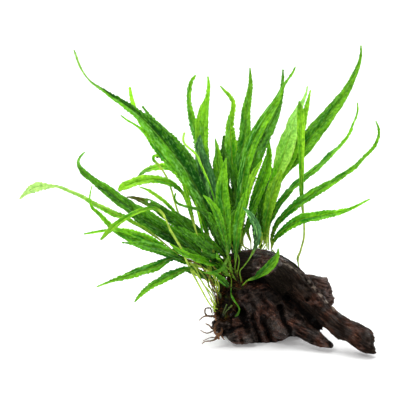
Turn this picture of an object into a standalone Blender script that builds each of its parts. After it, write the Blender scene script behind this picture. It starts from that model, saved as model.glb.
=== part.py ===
"""Java fern of the narrow-leaved kind, grown on a piece of driftwood.

Frame: metres, +Z up, +X towards the tip of the long arm, +Y away from the front, origin at the
middle of the flat patch under the trunk. Places below are in millimetres as seen from the front:
(right, up, back), counted from the trunk's lower front edge. from_front turns them into the frame.
"""

import math

import bmesh
import bpy
import numpy as np
from mathutils import Matrix, Vector

# ---- driving dimensions: millimetres, degrees ----
MM = 0.001
SEAT_GAP = 0.3  # kept between solids that touch in the real plant
VIEW_DISTANCE = 1000.0  # the front view is taken from this far
VIEW_PITCH = 10.0  # and looks down by this much
VIEW_CENTRE = (-46.4, 0.0, 112.0)  # what it looks at
VIEW_CENTRE_UP = 114.4  # the height of that in the view
STIPE_RADIUS = 0.95  # a frond's stalk
BLADE_THICKNESS = 1.1
THINNEST = 0.35  # share of that at the tip
BLADE_FOLD = 0.09  # rise of the margins above the midrib, in blade widths
BLADE_LEAN = 32.0  # how far the face of a level blade leans up from the front view
BLADE_WIDEST = 0.40  # share of the blade's length
STALK_RUNS_ON = 0.30  # the blade is at least as wide as its stalk over this share
TIP_WIDTH = 0.9
SLOT_STEP = 2.3  # along a rhizome, from one frond's slot to the next
SLOT_REACH = 0.03  # share of a rhizome to either side of a slot that gives its direction there
SLOT_SIDE = 24.0  # neighbouring stalks leave this far to either side of their fronds' way
SOCKET_RISE = 4.0  # a stalk leaves its rhizome straight for this far
CROSSING_DEPTH = 2.3  # between two fronds that cross in the front view, and
CROSSING_SHARE = 0.30  # this share of the narrower one's half width on top
CROSSING_MARGIN = 0.3  # added to each half width when crossings are looked for
LEAST_WEIGHT = 0.01  # of a crossing at a stalk's foot, when it is told which frond is in front
FREE_RISE = 8.0  # a stalk's depth is free to change from its socket on, over this far
FOOT_REACH = 70.0  # stalks are moved off each other up to this far from their feet
FOOT_FADE = 20.0  # and less and less over the last of it
FOOT_STIFF = 5.0  # a foot stays in its socket, and the stalk is free from here on
FOOT_GAP = 0.5  # between the stalks of neighbouring fronds
FOOT_MARGIN = 1.5  # added to each half width when such neighbours are looked for
RHIZOME_RADIUS = 2.6
ROOT_RADIUS = 0.6
FORK_BOX = 90.0  # size of the boxes that part the limbs
FLOOR_BOX = 400.0

# ---- how finely things are worked out ----
LINE_STEPS = 40  # steps between two points of a smooth line before it is evened
FINE_STATIONS = 64  # places along a frond when its route is settled
FINE_RHIZOME = 60  # places along a rhizome when fronds are set on it
RHIZOME_STEPS = 16
ROOT_STEPS = 9
FEWEST_SECTIONS, MOST_SECTIONS = 10, 16  # of a frond, by its length
SECTION_STEP = 18.0
BEND_WEIGHT = 14.0  # a bend of one radian earns as many sections as this length
TUBE_RESOLUTION = 2
MERGE_DISTANCE = 0.000001
SETTLE_ROUNDS = 2
CROSSING_STEPS, CROSSING_PACE = 160, 0.7
FOOT_STEPS, FOOT_PACE = 80, 0.4
EVENING_STEPS = 4

# Each rhizome's middle line. Its fronds sit in slots at even steps from the first point on.
RHIZOMES = {
    "left_rhizome": [(-33, 24, -13), (-32, 34, -13), (-30, 44, -11), (-27, 54, -7), (-23, 62, -3)],
    "front_rhizome": [
        (-12, 43, -21), (-16, 50, -22), (-20, 58, -20), (-24, 66, -13), (-26, 73, -4), (-25, 78, 3)],
    "back_rhizome": [
        (-22, 70, 10), (-10, 73, 16), (2, 74, 19), (14, 71, 20), (27, 64, 20), (36, 56, 19)],
}

# Each frond: rhizome, slot, the stalk's share of the length, blade width, turn of the blade
# about its midrib (lower end, tip), depth (lower end, middle, tip), tone, and the route from
# above the rhizome to the tip as (right, up).
FRONDS = {
    "lowest": ("left_rhizome", 0, 0.34, 6.4, (10, 0), (-22, -38, -54), "light",
        [(-41, 36), (-47, 50), (-54, 58), (-64, 58), (-86, 46), (-99, 34)]),
    "bent_over": ("left_rhizome", 1, 0.55, 5.2, (0, 0), (-24, -44, -60), "light",
        [(-40, 33), (-55, 62), (-70, 92), (-76, 104), (-83, 108), (-100, 102), (-126, 82)]),
    "lowest_but_one": ("left_rhizome", 2, 0.36, 8.0, (10, 0), (-22, -40, -56), "mid",
        [(-44, 43), (-53, 57), (-60, 66), (-70, 69), (-94, 61), (-130, 46)]),
    "broad_low_left": ("left_rhizome", 3, 0.34, 11.2, (10, 0), (-22, -38, -44), "dark",
        [(-42, 42), (-53, 60), (-74, 73), (-94, 79), (-110, 80)]),
    "far_left_trailing": ("left_rhizome", 4, 0.34, 8.0, (50, 10), (-14, -30, -44), "pale",
        [(-42, 42), (-54, 60), (-69, 75), (-106, 100), (-146, 118), (-164, 126), (-176, 127), (-184,
         122), (-190, 115)]),
    "curled_tail": ("left_rhizome", 5, 0.30, 6.4, (25, 10), (-14, -30, -46), "mid",
        [(-46, 48), (-62, 65), (-78, 73), (-106, 83), (-127, 99), (-134, 110), (-133, 126)]),
    "ruffled_low_left": ("left_rhizome", 6, 0.32, 7.2, (20, 20), (-20, -34, -40), "mid",
        [(-44, 46), (-56, 65), (-77, 78), (-96, 88), (-118, 91), (-139, 87)]),
    "fiddlehead": ("left_rhizome", 7, 1.00, 2.4, (0, 0), (2, 14, 26), "dark",
        [(-44, 57), (-56, 82), (-66, 106), (-70, 125), (-78, 141), (-83, 148), (-81, 150)]),
    "light_arching": ("left_rhizome", 8, 0.45, 8.0, (0, 0), (6, 20, 10), "light",
        [(-42, 57), (-50, 89), (-58, 112), (-70, 129), (-88, 134), (-102, 130), (-111, 122)]),
    "light_slim": ("left_rhizome", 9, 0.40, 4.0, (20, 0), (4, 12, 18), "light",
        [(-41, 60), (-53, 86), (-66, 103), (-78, 114), (-95, 125)]),
    "upper_arching": ("left_rhizome", 10, 0.50, 4.8, (10, 0), (8, 34, 56), "light",
        [(-41, 65), (-50, 97), (-58, 124), (-72, 142), (-86, 142), (-97, 130)]),
    "big_dark_left": ("left_rhizome", 11, 0.20, 16.0, (0, 0), (0, -22, -58), "dark",
        [(-42, 65), (-58, 80), (-82, 98), (-106, 116), (-130, 135), (-143, 144), (-139, 153)]),
    "holed_dark": ("left_rhizome", 12, 0.22, 12.0, (0, 0), (4, 4, 4), "dark",
        [(-36, 65), (-46, 84), (-66, 100), (-86, 112), (-106, 117)]),
    "tip_behind_holed": ("left_rhizome", 13, 0.30, 6.4, (0, 0), (8, 14, 20), "dark",
        [(-33, 65), (-40, 80), (-50, 92), (-59, 101)]),
    "light_left": ("left_rhizome", 14, 0.30, 10.4, (0, 0), (10, 12, 22), "light",
        [(-42, 70), (-53, 105), (-68, 136), (-88, 162), (-98, 188), (-102, 205)]),
    "left_tail": ("left_rhizome", 15, 0.22, 9.6, (0, 0), (0, -6, -12), "mid",
        [(-30, 70), (-44, 108), (-69, 140), (-90, 167), (-110, 182)]),
    "over_wood": ("front_rhizome", 1, 0.14, 7.6, (0, 0), (-28, -33, -35), "light",
        [(-12, 50), (3, 55), (12, 63), (17, 74)]),
    "bluish_bent": ("front_rhizome", 2, 0.40, 6.8, (0, 0), (-22, -34, -52), "dark",
        [(-11, 61), (-5, 69), (0, 79), (-3, 95), (-12, 108)]),
    "small_front_right": ("front_rhizome", 3, 0.36, 7.2, (0, 0), (-20, -36, -42), "light",
        [(-20, 68), (-18, 92), (-14, 109), (-9, 123)]),
    "bright_front": ("front_rhizome", 4, 0.34, 9.6, (0, 0), (-24, -40, -46), "light",
        [(-22, 70), (-26, 98), (-31, 122), (-26, 147)]),
    "ridged_right": ("front_rhizome", 5, 0.26, 11.2, (0, -15), (-22, -26, -20), "mid",
        [(-18, 82), (-17, 130), (-4, 166), (14, 194), (30, 221)]),
    "small_front_left": ("front_rhizome", 6, 0.42, 6.4, (0, 0), (-24, -42, -56), "light",
        [(-23, 66), (-27, 93), (-34, 110), (-44, 118)]),
    "tip_low_center": ("front_rhizome", 7, 0.30, 4.8, (0, 0), (-21, -33, -38), "light",
        [(-23, 65), (-31, 86), (-39, 102)]),
    "thin_bright": ("front_rhizome", 8, 0.40, 2.4, (0, 0), (-29, -39, -44), "light",
        [(-24, 86), (-35, 118), (-44, 135), (-52, 151), (-62, 162), (-59, 168)]),
    "hanging_young": ("front_rhizome", 9, 0.70, 2.4, (0, 0), (-22, -26, -26), "light",
        [(-22, 42), (-20, 37), (-15, 28), (-18, 21)]),
    "hooked": ("front_rhizome", 10, 0.55, 3.2, (0, 0), (-32, -46, -50), "light",
        [(-21, 62), (-22, 68), (-26, 62), (-32, 58), (-43, 56)]),
    "stringy_dark": ("front_rhizome", 11, 0.30, 3.2, (0, 20), (-18, -28, -30), "dark",
        [(-23, 68), (-29, 94), (-41, 104), (-58, 109), (-64, 112), (-66, 119)]),
    "pale_short": ("front_rhizome", 12, 0.20, 4.0, (0, 0), (-28, -40, -48), "light",
        [(-26, 55), (-34, 70)]),
    "mid_front_left": ("front_rhizome", 13, 0.20, 8.0, (0, 0), (-27, -42, -56), "dark",
        [(-31, 65), (-46, 80), (-63, 93)]),
    "tall_left": ("front_rhizome", 14, 0.22, 11.2, (0, 0), (-20, -34, -62), "dark",
        [(-29, 72), (-39, 105), (-56, 138), (-78, 168), (-106, 191), (-134, 210), (-147, 234)]),
    "flat_front_left": ("front_rhizome", 15, 0.20, 6.4, (0, 0), (-22, -36, -44), "mid",
        [(-30, 60), (-42, 66), (-56, 70), (-70, 79)]),
    "wet_dark": ("front_rhizome", 16, 0.28, 10.4, (0, 0), (-6, -8, -6), "dark",
        [(-25, 76), (-34, 100), (-42, 134), (-46, 165)]),
    "upright_straight": ("front_rhizome", 17, 0.30, 8.0, (0, 0), (2, 2, 18), "light",
        [(-27, 82), (-38, 122), (-42, 158), (-41, 186), (-40, 214)]),
    "short_dark": ("front_rhizome", 0, 0.20, 6.4, (0, 0), (-25, -28, -31), "dark",
        [(-27, 46), (-36, 53)]),
    "behind_tall": ("back_rhizome", 0, 0.25, 8.0, (0, 0), (14, 26, 44), "dark",
        [(-29, 82), (-42, 124), (-61, 156), (-80, 174), (-93, 189)]),
    "upright_curl": ("back_rhizome", 1, 0.28, 7.6, (0, 0), (18, 30, 56), "light",
        [(-26, 82), (-38, 122), (-48, 158), (-56, 185), (-56, 200), (-50, 214)]),
    "small_upright": ("back_rhizome", 2, 0.40, 8.0, (0, 0), (14, 6, 4), "mid",
        [(-23, 89), (-30, 122), (-32, 146), (-35, 163)]),
    "dark_behind_nodding": ("back_rhizome", 3, 0.34, 7.2, (0, 0), (27, 30, 42), "dark",
        [(-21, 92), (-26, 130), (-28, 150), (-27, 166)]),
    "nodding": ("back_rhizome", 4, 0.38, 9.2, (0, 0), (16, 10, -6), "light",
        [(-16, 97), (-21, 140), (-22, 166), (-20, 190), (-30, 206)]),
    "spear": ("back_rhizome", 5, 0.36, 8.0, (0, 0), (26, 36, 58), "mid",
        [(-14, 97), (-16, 138), (-12, 174), (-6, 202), (-6, 220)]),
    "broad_right": ("back_rhizome", 6, 0.24, 14.4, (0, 0), (16, 6, 34), "dark",
        [(-13, 89), (-10, 126), (5, 161), (16, 193), (20, 218)]),
    "speckled_slim": ("back_rhizome", 7, 0.34, 3.6, (0, 0), (14, -2, -4), "light",
        [(-11, 92), (-7, 118), (3, 146)]),
    "slim_right": ("back_rhizome", 8, 0.36, 8.0, (0, 0), (22, 14, 24), "mid",
        [(-6, 92), (-3, 114), (8, 142), (9, 162)]),
    "dark_short_right": ("back_rhizome", 9, 0.36, 7.2, (0, 0), (26, 34, 52), "dark",
        [(-3, 89), (1, 116), (11, 142)]),
    "light_broad_right": ("back_rhizome", 10, 0.28, 11.6, (0, 0), (22, 30, 46), "pale",
        [(3, 84), (8, 120), (22, 162), (35, 194), (39, 206)]),
    "bright_short_right": ("back_rhizome", 11, 0.40, 11.2, (0, 0), (16, 0, -8), "light",
        [(6, 89), (10, 110), (19, 138)]),
    "behind_folded": ("back_rhizome", 12, 0.34, 6.4, (0, 0), (30, 38, 56), "pale",
        [(7, 89), (20, 126), (34, 162), (39, 186), (42, 202)]),
    "tall_right": ("back_rhizome", 13, 0.26, 12.0, (0, 0), (34, 44, 70), "mid",
        [(7, 86), (14, 122), (42, 162), (70, 201), (82, 238)]),
    "bowed_right": ("back_rhizome", 14, 0.26, 6.4, (30, 30), (20, 14, 34), "mid",
        [(9, 94), (22, 118), (54, 147), (74, 170), (79, 196)]),
    "hooked_right": ("back_rhizome", 15, 0.24, 7.2, (20, 10), (14, -12, -36), "mid",
        [(12, 86), (26, 106), (58, 127), (88, 150), (97, 169), (94, 178)]),
    "level_right": ("back_rhizome", 16, 0.22, 7.2, (0, 0), (8, -18, -52), "mid",
        [(14, 82), (26, 95), (46, 105), (70, 107), (90, 114)]),
    "hanging_folded": ("back_rhizome", 26, 0.56, 7.6, (0, 0), (14, 2, -6), "light",
        [(35, 78), (37, 92), (35, 130), (35, 170), (33, 193), (34, 188)]),
}

# Colour and roughness of each tone of frond, from old to young.
TONES = {
    "dark": ((0.020, 0.095, 0.022), 0.30),
    "mid": ((0.045, 0.190, 0.030), 0.35),
    "light": ((0.130, 0.380, 0.035), 0.38),
    "pale": ((0.210, 0.450, 0.060), 0.42),
}
WOOD_COLOUR, WOOD_ROUGHNESS = (0.022, 0.013, 0.010), 0.42
RHIZOME_COLOUR, RHIZOME_ROUGHNESS = (0.070, 0.080, 0.020), 0.6

# Each limb's cross sections from its root out: middle (right, up, back), half height, half depth.
SLAB_AND_ARM = [
    ((-23, 64, 1), 3, 7), ((-18, 63, 1), 8, 15), ((-6, 62, 1), 10, 19), ((10, 59, 0), 12, 22),
    ((26, 48, -3), 14, 18), ((37, 37, -8), 14, 14), ((48, 27, -14), 10, 12),
    ((58, 18, -20), 8.5, 11), ((69, 12, -27), 8, 11), ((79, 7, -33), 9, 11),
    ((87, 1, -39), 10, 10), ((91, -3, -42), 8, 8), ((93, -6, -44), 5, 5),
]
SHORT_PRONG = [
    ((16, 16, -6), 13, 12), ((27, 12, -12), 10, 11), ((36, 8, -17), 8, 9),
    ((45, 5, -21), 6.5, 8), ((53, 1, -25), 5.5, 6), ((59, -2, -28), 3, 3.5),
]
BACK_STUB = [
    ((24, 43, 8), 10, 9), ((36, 44, 15), 10.5, 10), ((46, 42, 20), 10, 9),
    ((55, 39, 23), 9, 8), ((59, 37, 24), 6, 5),
]
LEFT_SNAG = [
    ((-10, 13, -4), 13, 12), ((-19, 12, -7), 11, 11), ((-26, 12, -9), 8, 9),
    ((-31, 13, -10), 5.5, 6), ((-34, 15, -10), 3, 3),
]
# The stump's cross sections from below the floor up: middle, half width, half depth.
STUMP = [
    ((4, -8, 22), 32, 22), ((4, 4, 21), 35, 25), ((3, 18, 18), 33, 25), ((2, 33, 13), 30, 23),
    ((2, 46, 9), 27, 21), ((5, 56, 5), 21, 17),
]
STUMP_AROUND, STUMP_FOLDS = 30, 8
# Each limb: its sections, how many points and folds go round one, where it parts from the trunk,
# and its direction there (right, up, back).
LIMBS = {
    "driftwood_long_arm": (SLAB_AND_ARM, 18, 5, (51, 25, -16), (0.85, -0.55, -0.45)),
    "driftwood_short_prong": (SHORT_PRONG, 14, 4, (41, 6, -19), (0.90, -0.30, -0.35)),
    "driftwood_back_stub": (BACK_STUB, 12, 4, (44, 42, 19), (0.90, -0.20, 0.35)),
    "driftwood_left_snag": (LEFT_SNAG, 12, 5, (-23, 13, -8), (-1.0, 0.05, -0.25)),
}
# The wood's surface: each wave's share of the section, how far it turns over the limb's length,
# and its start. The second set of folds is finer than the first by FINER_FOLDS.
FOLD_WAVES = ((0.055, 2.1, 0.0), (0.030, -3.0, 1.3))
FINER_FOLDS = 4
LUMP_SHARE = 0.05
LUMP_WAVES = ((0.19, 0.0, 0.11, 0.0), (0.0, 0.16, 0.21, 0.8))  # per mm of x, y, z, and start
# Holdfast roots that hang from the left rhizome: places from the rhizome to the tip.
ROOTS = [
    [(-32, 30, -12), (-37, 28, -8), (-42, 25, -8), (-47, 18, -9)],
    [(-33, 25, -13), (-36, 19, -12), (-37, 13, -15), (-41, 8, -17), (-45, 10, -18)],
    [(-33, 25, -14), (-34, 15, -17), (-37, 6, -20), (-44, 0, -20)],
    [(-31, 35, -12), (-37, 34, -6), (-41, 30, -4), (-39, 24, -5)],
]


# ---- places ----
def from_front(right, up, back):
    """The place in the frame, in metres, of a place given as seen from the front."""
    pitch = math.radians(VIEW_PITCH)
    spread = (VIEW_DISTANCE + back) / VIEW_DISTANCE
    sideways = (right - VIEW_CENTRE[0]) * spread
    upwards = (up - VIEW_CENTRE_UP) * spread
    return np.array([
        VIEW_CENTRE[0] + sideways,
        VIEW_CENTRE[1] + upwards * math.sin(pitch) + back * math.cos(pitch),
        VIEW_CENTRE[2] + upwards * math.cos(pitch) - back * math.sin(pitch),
    ]) * MM


def to_front(place):
    """The reverse of from_front: (right, up, back) of a place in the frame."""
    pitch = math.radians(VIEW_PITCH)
    x, y, z = np.asarray(place) / MM - VIEW_CENTRE
    back = y * math.cos(pitch) - z * math.sin(pitch)
    spread = (VIEW_DISTANCE + back) / VIEW_DISTANCE
    upwards = y * math.sin(pitch) + z * math.cos(pitch)
    return np.array([VIEW_CENTRE[0] + x / spread, VIEW_CENTRE_UP + upwards / spread, back])


def run_along(points):
    steps = np.linalg.norm(np.diff(points, axis=0), axis=1)
    return np.concatenate([[0.0], np.cumsum(steps)])


def smooth_line(points, count):
    """Evenly spaced places on a smooth curve through the points."""
    points = np.asarray(points, float)
    run = run_along(points)
    slope = np.gradient(points, run, axis=0)
    fine = np.linspace(0, run[-1], LINE_STEPS * len(points))
    first = np.clip(np.searchsorted(run, fine, "right") - 1, 0, len(points) - 2)
    length = (run[first + 1] - run[first])[:, None]
    x = (fine - run[first])[:, None] / length
    line = (
        (1 + 2 * x) * (1 - x) ** 2 * points[first]
        + x * (1 - x) ** 2 * length * slope[first]
        + x**2 * (3 - 2 * x) * points[first + 1]
        + x**2 * (x - 1) * length * slope[first + 1]
    )
    return resample(line, np.linspace(0, 1, count))


def resample(line, shares):
    """The places at these shares of the line's length."""
    run = run_along(line)
    return np.column_stack([np.interp(shares * run[-1], run, axis) for axis in line.T])


def unit(vectors):
    return vectors / np.linalg.norm(vectors, axis=-1, keepdims=True)


# ---- frond routes ----
def socket(rhizome, slot, towards):
    """Where a stalk starts, just off the rhizome, and the direction in which it leaves."""
    line = smooth_line([from_front(*place) for place in RHIZOMES[rhizome]], FINE_RHIZOME)
    share = (slot + 0.5) * SLOT_STEP * MM / run_along(line)[-1]
    before, at, after = resample(line, share + np.array([-SLOT_REACH, 0, SLOT_REACH]))
    along = unit(after - before)
    way = towards - at
    way = unit(way - along * (along @ way))
    side = math.radians(SLOT_SIDE if slot % 2 else -SLOT_SIDE)
    out = way * math.cos(side) + np.cross(along, way) * math.sin(side)
    return at + out * (RHIZOME_RADIUS + SEAT_GAP) * MM, out


def front_route(frond):
    """The frond's line as seen from the front, before the fronds are settled apart."""
    rhizome, slot, _, _, _, depths, _, route = frond
    start, out = socket(rhizome, slot, from_front(*route[0], depths[0]))
    foot = [to_front(start), to_front(start + out * SOCKET_RISE * MM)]
    flat = np.array([(right, up, 0.0) for right, up in route])
    share = run_along(flat) / run_along(flat)[-1]
    flat[:, 2] = np.interp(share, [0, 0.5, 1], depths)
    return smooth_line(np.vstack([foot, flat]), FINE_STATIONS)


def half_widths(frond):
    """Half the frond's width at the fine stations."""
    _, _, stalk, width, _, _, _, _ = frond
    share = np.linspace(0, 1, FINE_STATIONS)
    blade = np.clip((share - stalk) / max(1 - stalk, 1e-6), 0, 1)
    fall = (1 - BLADE_WIDEST) / BLADE_WIDEST
    bulge = blade / BLADE_WIDEST * ((1 - blade) / (1 - BLADE_WIDEST)) ** fall
    narrow = np.where(blade < STALK_RUNS_ON, STIPE_RADIUS, TIP_WIDTH / 2)
    return np.maximum(narrow, width / 2 * bulge)


def close_pairs(places, owner, reach):
    """Pairs of stations of different fronds that are nearer than the sum of their reaches."""
    one, two = [], []
    for index in range(owner[-1]):
        mine = np.flatnonzero(owner == index)
        later = np.flatnonzero(owner > index)
        gap = np.linalg.norm(places[mine][:, None] - places[later][None], axis=2)
        close = np.argwhere(gap < reach[mine][:, None] + reach[later][None])
        one.append(mine[close[:, 0]])
        two.append(later[close[:, 1]])
    return np.concatenate(one), np.concatenate(two)


def evened(move, fronds):
    """The moves of the stations, evened out along each frond."""
    move = move.reshape(fronds, FINE_STATIONS, -1)
    for _ in range(EVENING_STEPS):
        padded = np.pad(move, ((0, 0), (1, 1), (0, 0)), mode="edge")
        move = (padded[:, :-2] + 2 * padded[:, 1:-1] + padded[:, 2:]) / 4
    return move.reshape(fronds * FINE_STATIONS, -1)


def settle_crossings(places, owner, half, from_foot):
    """Moves fronds that cross in the front view apart in depth, the front one forward."""
    fronds = owner[-1] + 1
    free = np.clip((from_foot - SOCKET_RISE) / FREE_RISE, 0, 1)
    one, two = close_pairs(places[:, :2], owner, half + CROSSING_MARGIN)
    need = CROSSING_DEPTH + CROSSING_SHARE * np.minimum(half[one], half[two])
    pair = owner[one] * fronds + owner[two]
    order = np.zeros(fronds**2)
    weight = np.minimum(free[one], free[two]) + LEAST_WEIGHT
    np.add.at(order, pair, weight * (places[two, 2] - places[one, 2]))
    sign = np.where(order[pair] >= 0, 1.0, -1.0)
    front, rear = np.where(sign > 0, one, two), np.where(sign > 0, two, one)
    for _ in range(CROSSING_STEPS):
        short = np.maximum(0, need - sign * (places[two, 2] - places[one, 2]))
        forward, backward = np.zeros(len(places)), np.zeros(len(places))
        np.maximum.at(forward, front, short / 2)
        np.maximum.at(backward, rear, short / 2)
        places[:, 2] += CROSSING_PACE * free * evened((backward - forward) * free, fronds)[:, 0]


def settle_feet(places, owner, half, from_foot):
    """Moves stalks off each other and off the rhizomes, near their feet."""
    fronds = owner[-1] + 1
    free = np.clip(from_foot / FOOT_STIFF, 0, 1)
    free = free * np.clip((FOOT_REACH - from_foot) / FOOT_FADE, 0, 1)
    thin = np.minimum(half, 1.5 * STIPE_RADIUS)
    one, two = close_pairs(places, owner, np.where(free > 0, thin + FOOT_MARGIN, -np.inf))
    need = thin[one] + thin[two] + FOOT_GAP
    rhizomes = np.vstack([smooth_line(line, FINE_RHIZOME) for line in RHIZOMES.values()])
    for _ in range(FOOT_STEPS):
        move = np.zeros_like(places)
        apart = places[two] - places[one]
        gap = np.linalg.norm(apart, axis=1)
        step = apart * (np.maximum(0, need - gap) / gap)[:, None]
        np.add.at(move, one, -step / 2)
        np.add.at(move, two, step / 2)
        off = places[:, None] - rhizomes[None]
        distance = np.linalg.norm(off, axis=2)
        nearest = np.argmin(distance, axis=1)
        rows = np.arange(len(places))
        off, distance = off[rows, nearest], distance[rows, nearest]
        least = RHIZOME_RADIUS + np.clip(from_foot, SEAT_GAP, half + 2 * SEAT_GAP)
        move += off * (np.maximum(0, least - distance) / distance)[:, None]
        places += FOOT_PACE * free[:, None] * evened(move * free[:, None], fronds)


def settle(lines, halves):
    """The fronds' lines with clear room between them, near the same routes."""
    owner = np.repeat(np.arange(len(lines)), FINE_STATIONS)
    places = np.vstack(lines)
    half = np.concatenate(halves)
    from_foot = np.concatenate([run_along(line) for line in lines])
    for _ in range(SETTLE_ROUNDS):
        settle_crossings(places, owner, half, from_foot)
        settle_feet(places, owner, half, from_foot)
    return list(places.reshape(len(lines), FINE_STATIONS, 3))


def frond_frames(line, turns):
    """Places, sideways and facing directions along a frond in the frame."""
    places = np.array([from_front(*place) for place in line])
    tangent = unit(np.gradient(places, axis=0))
    pitch, lean = math.radians(VIEW_PITCH), math.radians(BLADE_LEAN)
    to_viewer = np.array([0, -math.cos(pitch), math.sin(pitch)])
    view_up = np.array([0, math.sin(pitch), math.cos(pitch)])
    facing = to_viewer * math.cos(lean) + view_up * math.sin(lean)
    sideways = unit(np.cross(tangent, facing))
    facing = np.cross(sideways, tangent)
    turn = np.radians(np.linspace(*turns, len(line)))[:, None]
    return (places, sideways * np.cos(turn) + facing * np.sin(turn),
            facing * np.cos(turn) - sideways * np.sin(turn))


# ---- making objects ----
def clear_scene():
    for old in list(bpy.data.objects):
        bpy.data.objects.remove(old, do_unlink=True)


def new_collection(name):
    collection = bpy.data.collections.new(name)
    bpy.context.scene.collection.children.link(collection)
    return collection


def plain_material(name, colour, roughness):
    material = bpy.data.materials.new(name)
    material.use_nodes = True
    shader = material.node_tree.nodes["Principled BSDF"]
    shader.inputs["Base Color"].default_value = (*colour, 1)
    shader.inputs["Roughness"].default_value = roughness
    shader.inputs["Metallic"].default_value = 0
    return material


def add_object(name, data, collection, material=None):
    made = bpy.data.objects.new(name, data)
    collection.objects.link(made)
    if material:
        data.materials.append(material)
    return made


def as_helper(made):
    made.hide_render = True
    made.display_type = "WIRE"
    return made


def loft(name, rings):
    """A closed mesh through rings of the same number of points, with a fan at each end."""
    shape = bmesh.new()
    rows = [[shape.verts.new(Vector(point)) for point in ring] for ring in rings]
    around = len(rows[0])
    for low, high in zip(rows, rows[1:]):
        for k in range(around):
            shape.faces.new((low[k], low[(k + 1) % around], high[(k + 1) % around], high[k]))
    shape.faces.new(rows[0][::-1])
    shape.faces.new(rows[-1])
    bmesh.ops.recalc_face_normals(shape, faces=shape.faces[:])
    bmesh.ops.triangulate(shape, faces=shape.faces[:])
    mesh = bpy.data.meshes.new(name)
    shape.to_mesh(mesh)
    shape.free()
    mesh.shade_smooth()
    return mesh


def tube_mesh(name, places, radius):
    """A round tube along these places in the frame, as one closed mesh."""
    curve = bpy.data.curves.new(name, "CURVE")
    curve.dimensions = "3D"
    curve.bevel_depth = radius
    curve.bevel_resolution = TUBE_RESOLUTION
    curve.use_fill_caps = True
    spline = curve.splines.new("POLY")
    spline.points.add(len(places) - 1)
    for point, place in zip(spline.points, places):
        point.co = (*place, 1)
    guide = bpy.data.objects.new(name, curve)
    bpy.context.scene.collection.objects.link(guide)
    graph = bpy.context.evaluated_depsgraph_get()
    mesh = bpy.data.meshes.new_from_object(guide.evaluated_get(graph))
    shape = bmesh.new()
    shape.from_mesh(mesh)
    bmesh.ops.remove_doubles(shape, verts=shape.verts[:], dist=MERGE_DISTANCE)
    bmesh.ops.recalc_face_normals(shape, faces=shape.faces[:])
    shape.to_mesh(mesh)
    shape.free()
    mesh.materials.clear()
    mesh.shade_smooth()
    bpy.data.objects.remove(guide, do_unlink=True)
    return mesh


def boolean(target, other, operation):
    modifier = target.modifiers.new(operation.lower() + "_" + other.name, "BOOLEAN")
    modifier.operation = operation
    modifier.solver = "EXACT"
    modifier.object = other


def box_from(name, place, direction, size, collection):
    """A box that starts at the place and lies on the side that the direction points to."""
    shape = bmesh.new()
    bmesh.ops.create_cube(shape, size=size)
    bmesh.ops.translate(shape, verts=shape.verts[:], vec=(0, 0, size / 2))
    mesh = bpy.data.meshes.new(name)
    shape.to_mesh(mesh)
    shape.free()
    box = as_helper(add_object(name, mesh, collection))
    turn = Vector(direction).to_track_quat("Z", "Y").to_matrix().to_4x4()
    box.matrix_world = Matrix.Translation(Vector(place)) @ turn
    return box


# ---- driftwood ----
def weathering(place, angle, share, folds):
    """How far the wood's surface stands from its smooth section: folds along the grain, lumps."""
    height = 1.0
    for number, (depth, turn, start) in enumerate(FOLD_WAVES):
        height += depth * math.cos((folds + number * FINER_FOLDS) * angle + turn * share + start)
    lump = LUMP_SHARE
    for *rates, start in LUMP_WAVES:
        lump *= math.sin(np.dot(rates, place / MM) + start)
    return height + lump


def limb(name, sections, around, folds, upright=False):
    """A loft through the sections, each square to the limb's middle line."""
    middles = np.array([from_front(*section[0]) for section in sections])
    tangents = unit(np.gradient(middles, axis=0))
    rings = []
    for number, (middle, tangent, section) in enumerate(zip(middles, tangents, sections)):
        first_half, half_depth = section[1] * MM, section[2] * MM
        guide = np.array([1.0, 0, 0]) if upright else np.array([0, 0, 1.0])
        first = unit(guide - tangent * (guide @ tangent))
        second = np.cross(tangent, first)
        ring = []
        for k in range(around):
            angle = 2 * math.pi * k / around
            out = first * math.cos(angle) * first_half + second * math.sin(angle) * half_depth
            stretch = weathering(middle + out, angle, number / len(sections), folds)
            ring.append(middle + out * stretch)
        rings.append(ring)
    return loft(name, rings)


def part_limb(name, trunk, parts, cutters):
    """Makes a limb from its fork out, and joins the rest of it, hidden by now, to the trunk."""
    sections, around, folds, place, direction = LIMBS[name]
    mesh = limb(name, sections, around, folds)
    right, up, back = unit(np.array(direction))
    direction = np.array([right, back, up])
    place = from_front(*place)
    near = box_from(name + "_near", place - direction * SEAT_GAP * MM, direction,
                    FORK_BOX * MM, cutters)
    far = box_from(name + "_far", place, direction, FORK_BOX * MM, cutters)
    root = as_helper(add_object(name + "_root", mesh.copy(), cutters))
    boolean(root, near, "DIFFERENCE")
    boolean(trunk, root, "UNION")
    outer = add_object(name, mesh, parts, plain_material(name, WOOD_COLOUR, WOOD_ROUGHNESS))
    boolean(outer, far, "INTERSECT")
    return outer


def build_driftwood(parts, cutters):
    floor = box_from("floor_cutter", (0, 0, 0), (0, 0, -1), FLOOR_BOX * MM, cutters)
    stump = limb("stump", STUMP, STUMP_AROUND, STUMP_FOLDS, upright=True)
    material = plain_material("driftwood_trunk", WOOD_COLOUR, WOOD_ROUGHNESS)
    trunk = add_object("driftwood_trunk", stump, parts, material)
    for name in LIMBS:
        boolean(part_limb(name, trunk, parts, cutters), floor, "DIFFERENCE")
    boolean(trunk, floor, "DIFFERENCE")
    for name, places in RHIZOMES.items():
        line = smooth_line([from_front(*place) for place in places], RHIZOME_STEPS)
        seat = tube_mesh(name + "_seat", line, (RHIZOME_RADIUS + SEAT_GAP) * MM)
        boolean(trunk, as_helper(add_object(name + "_seat", seat, cutters)), "DIFFERENCE")


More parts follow.
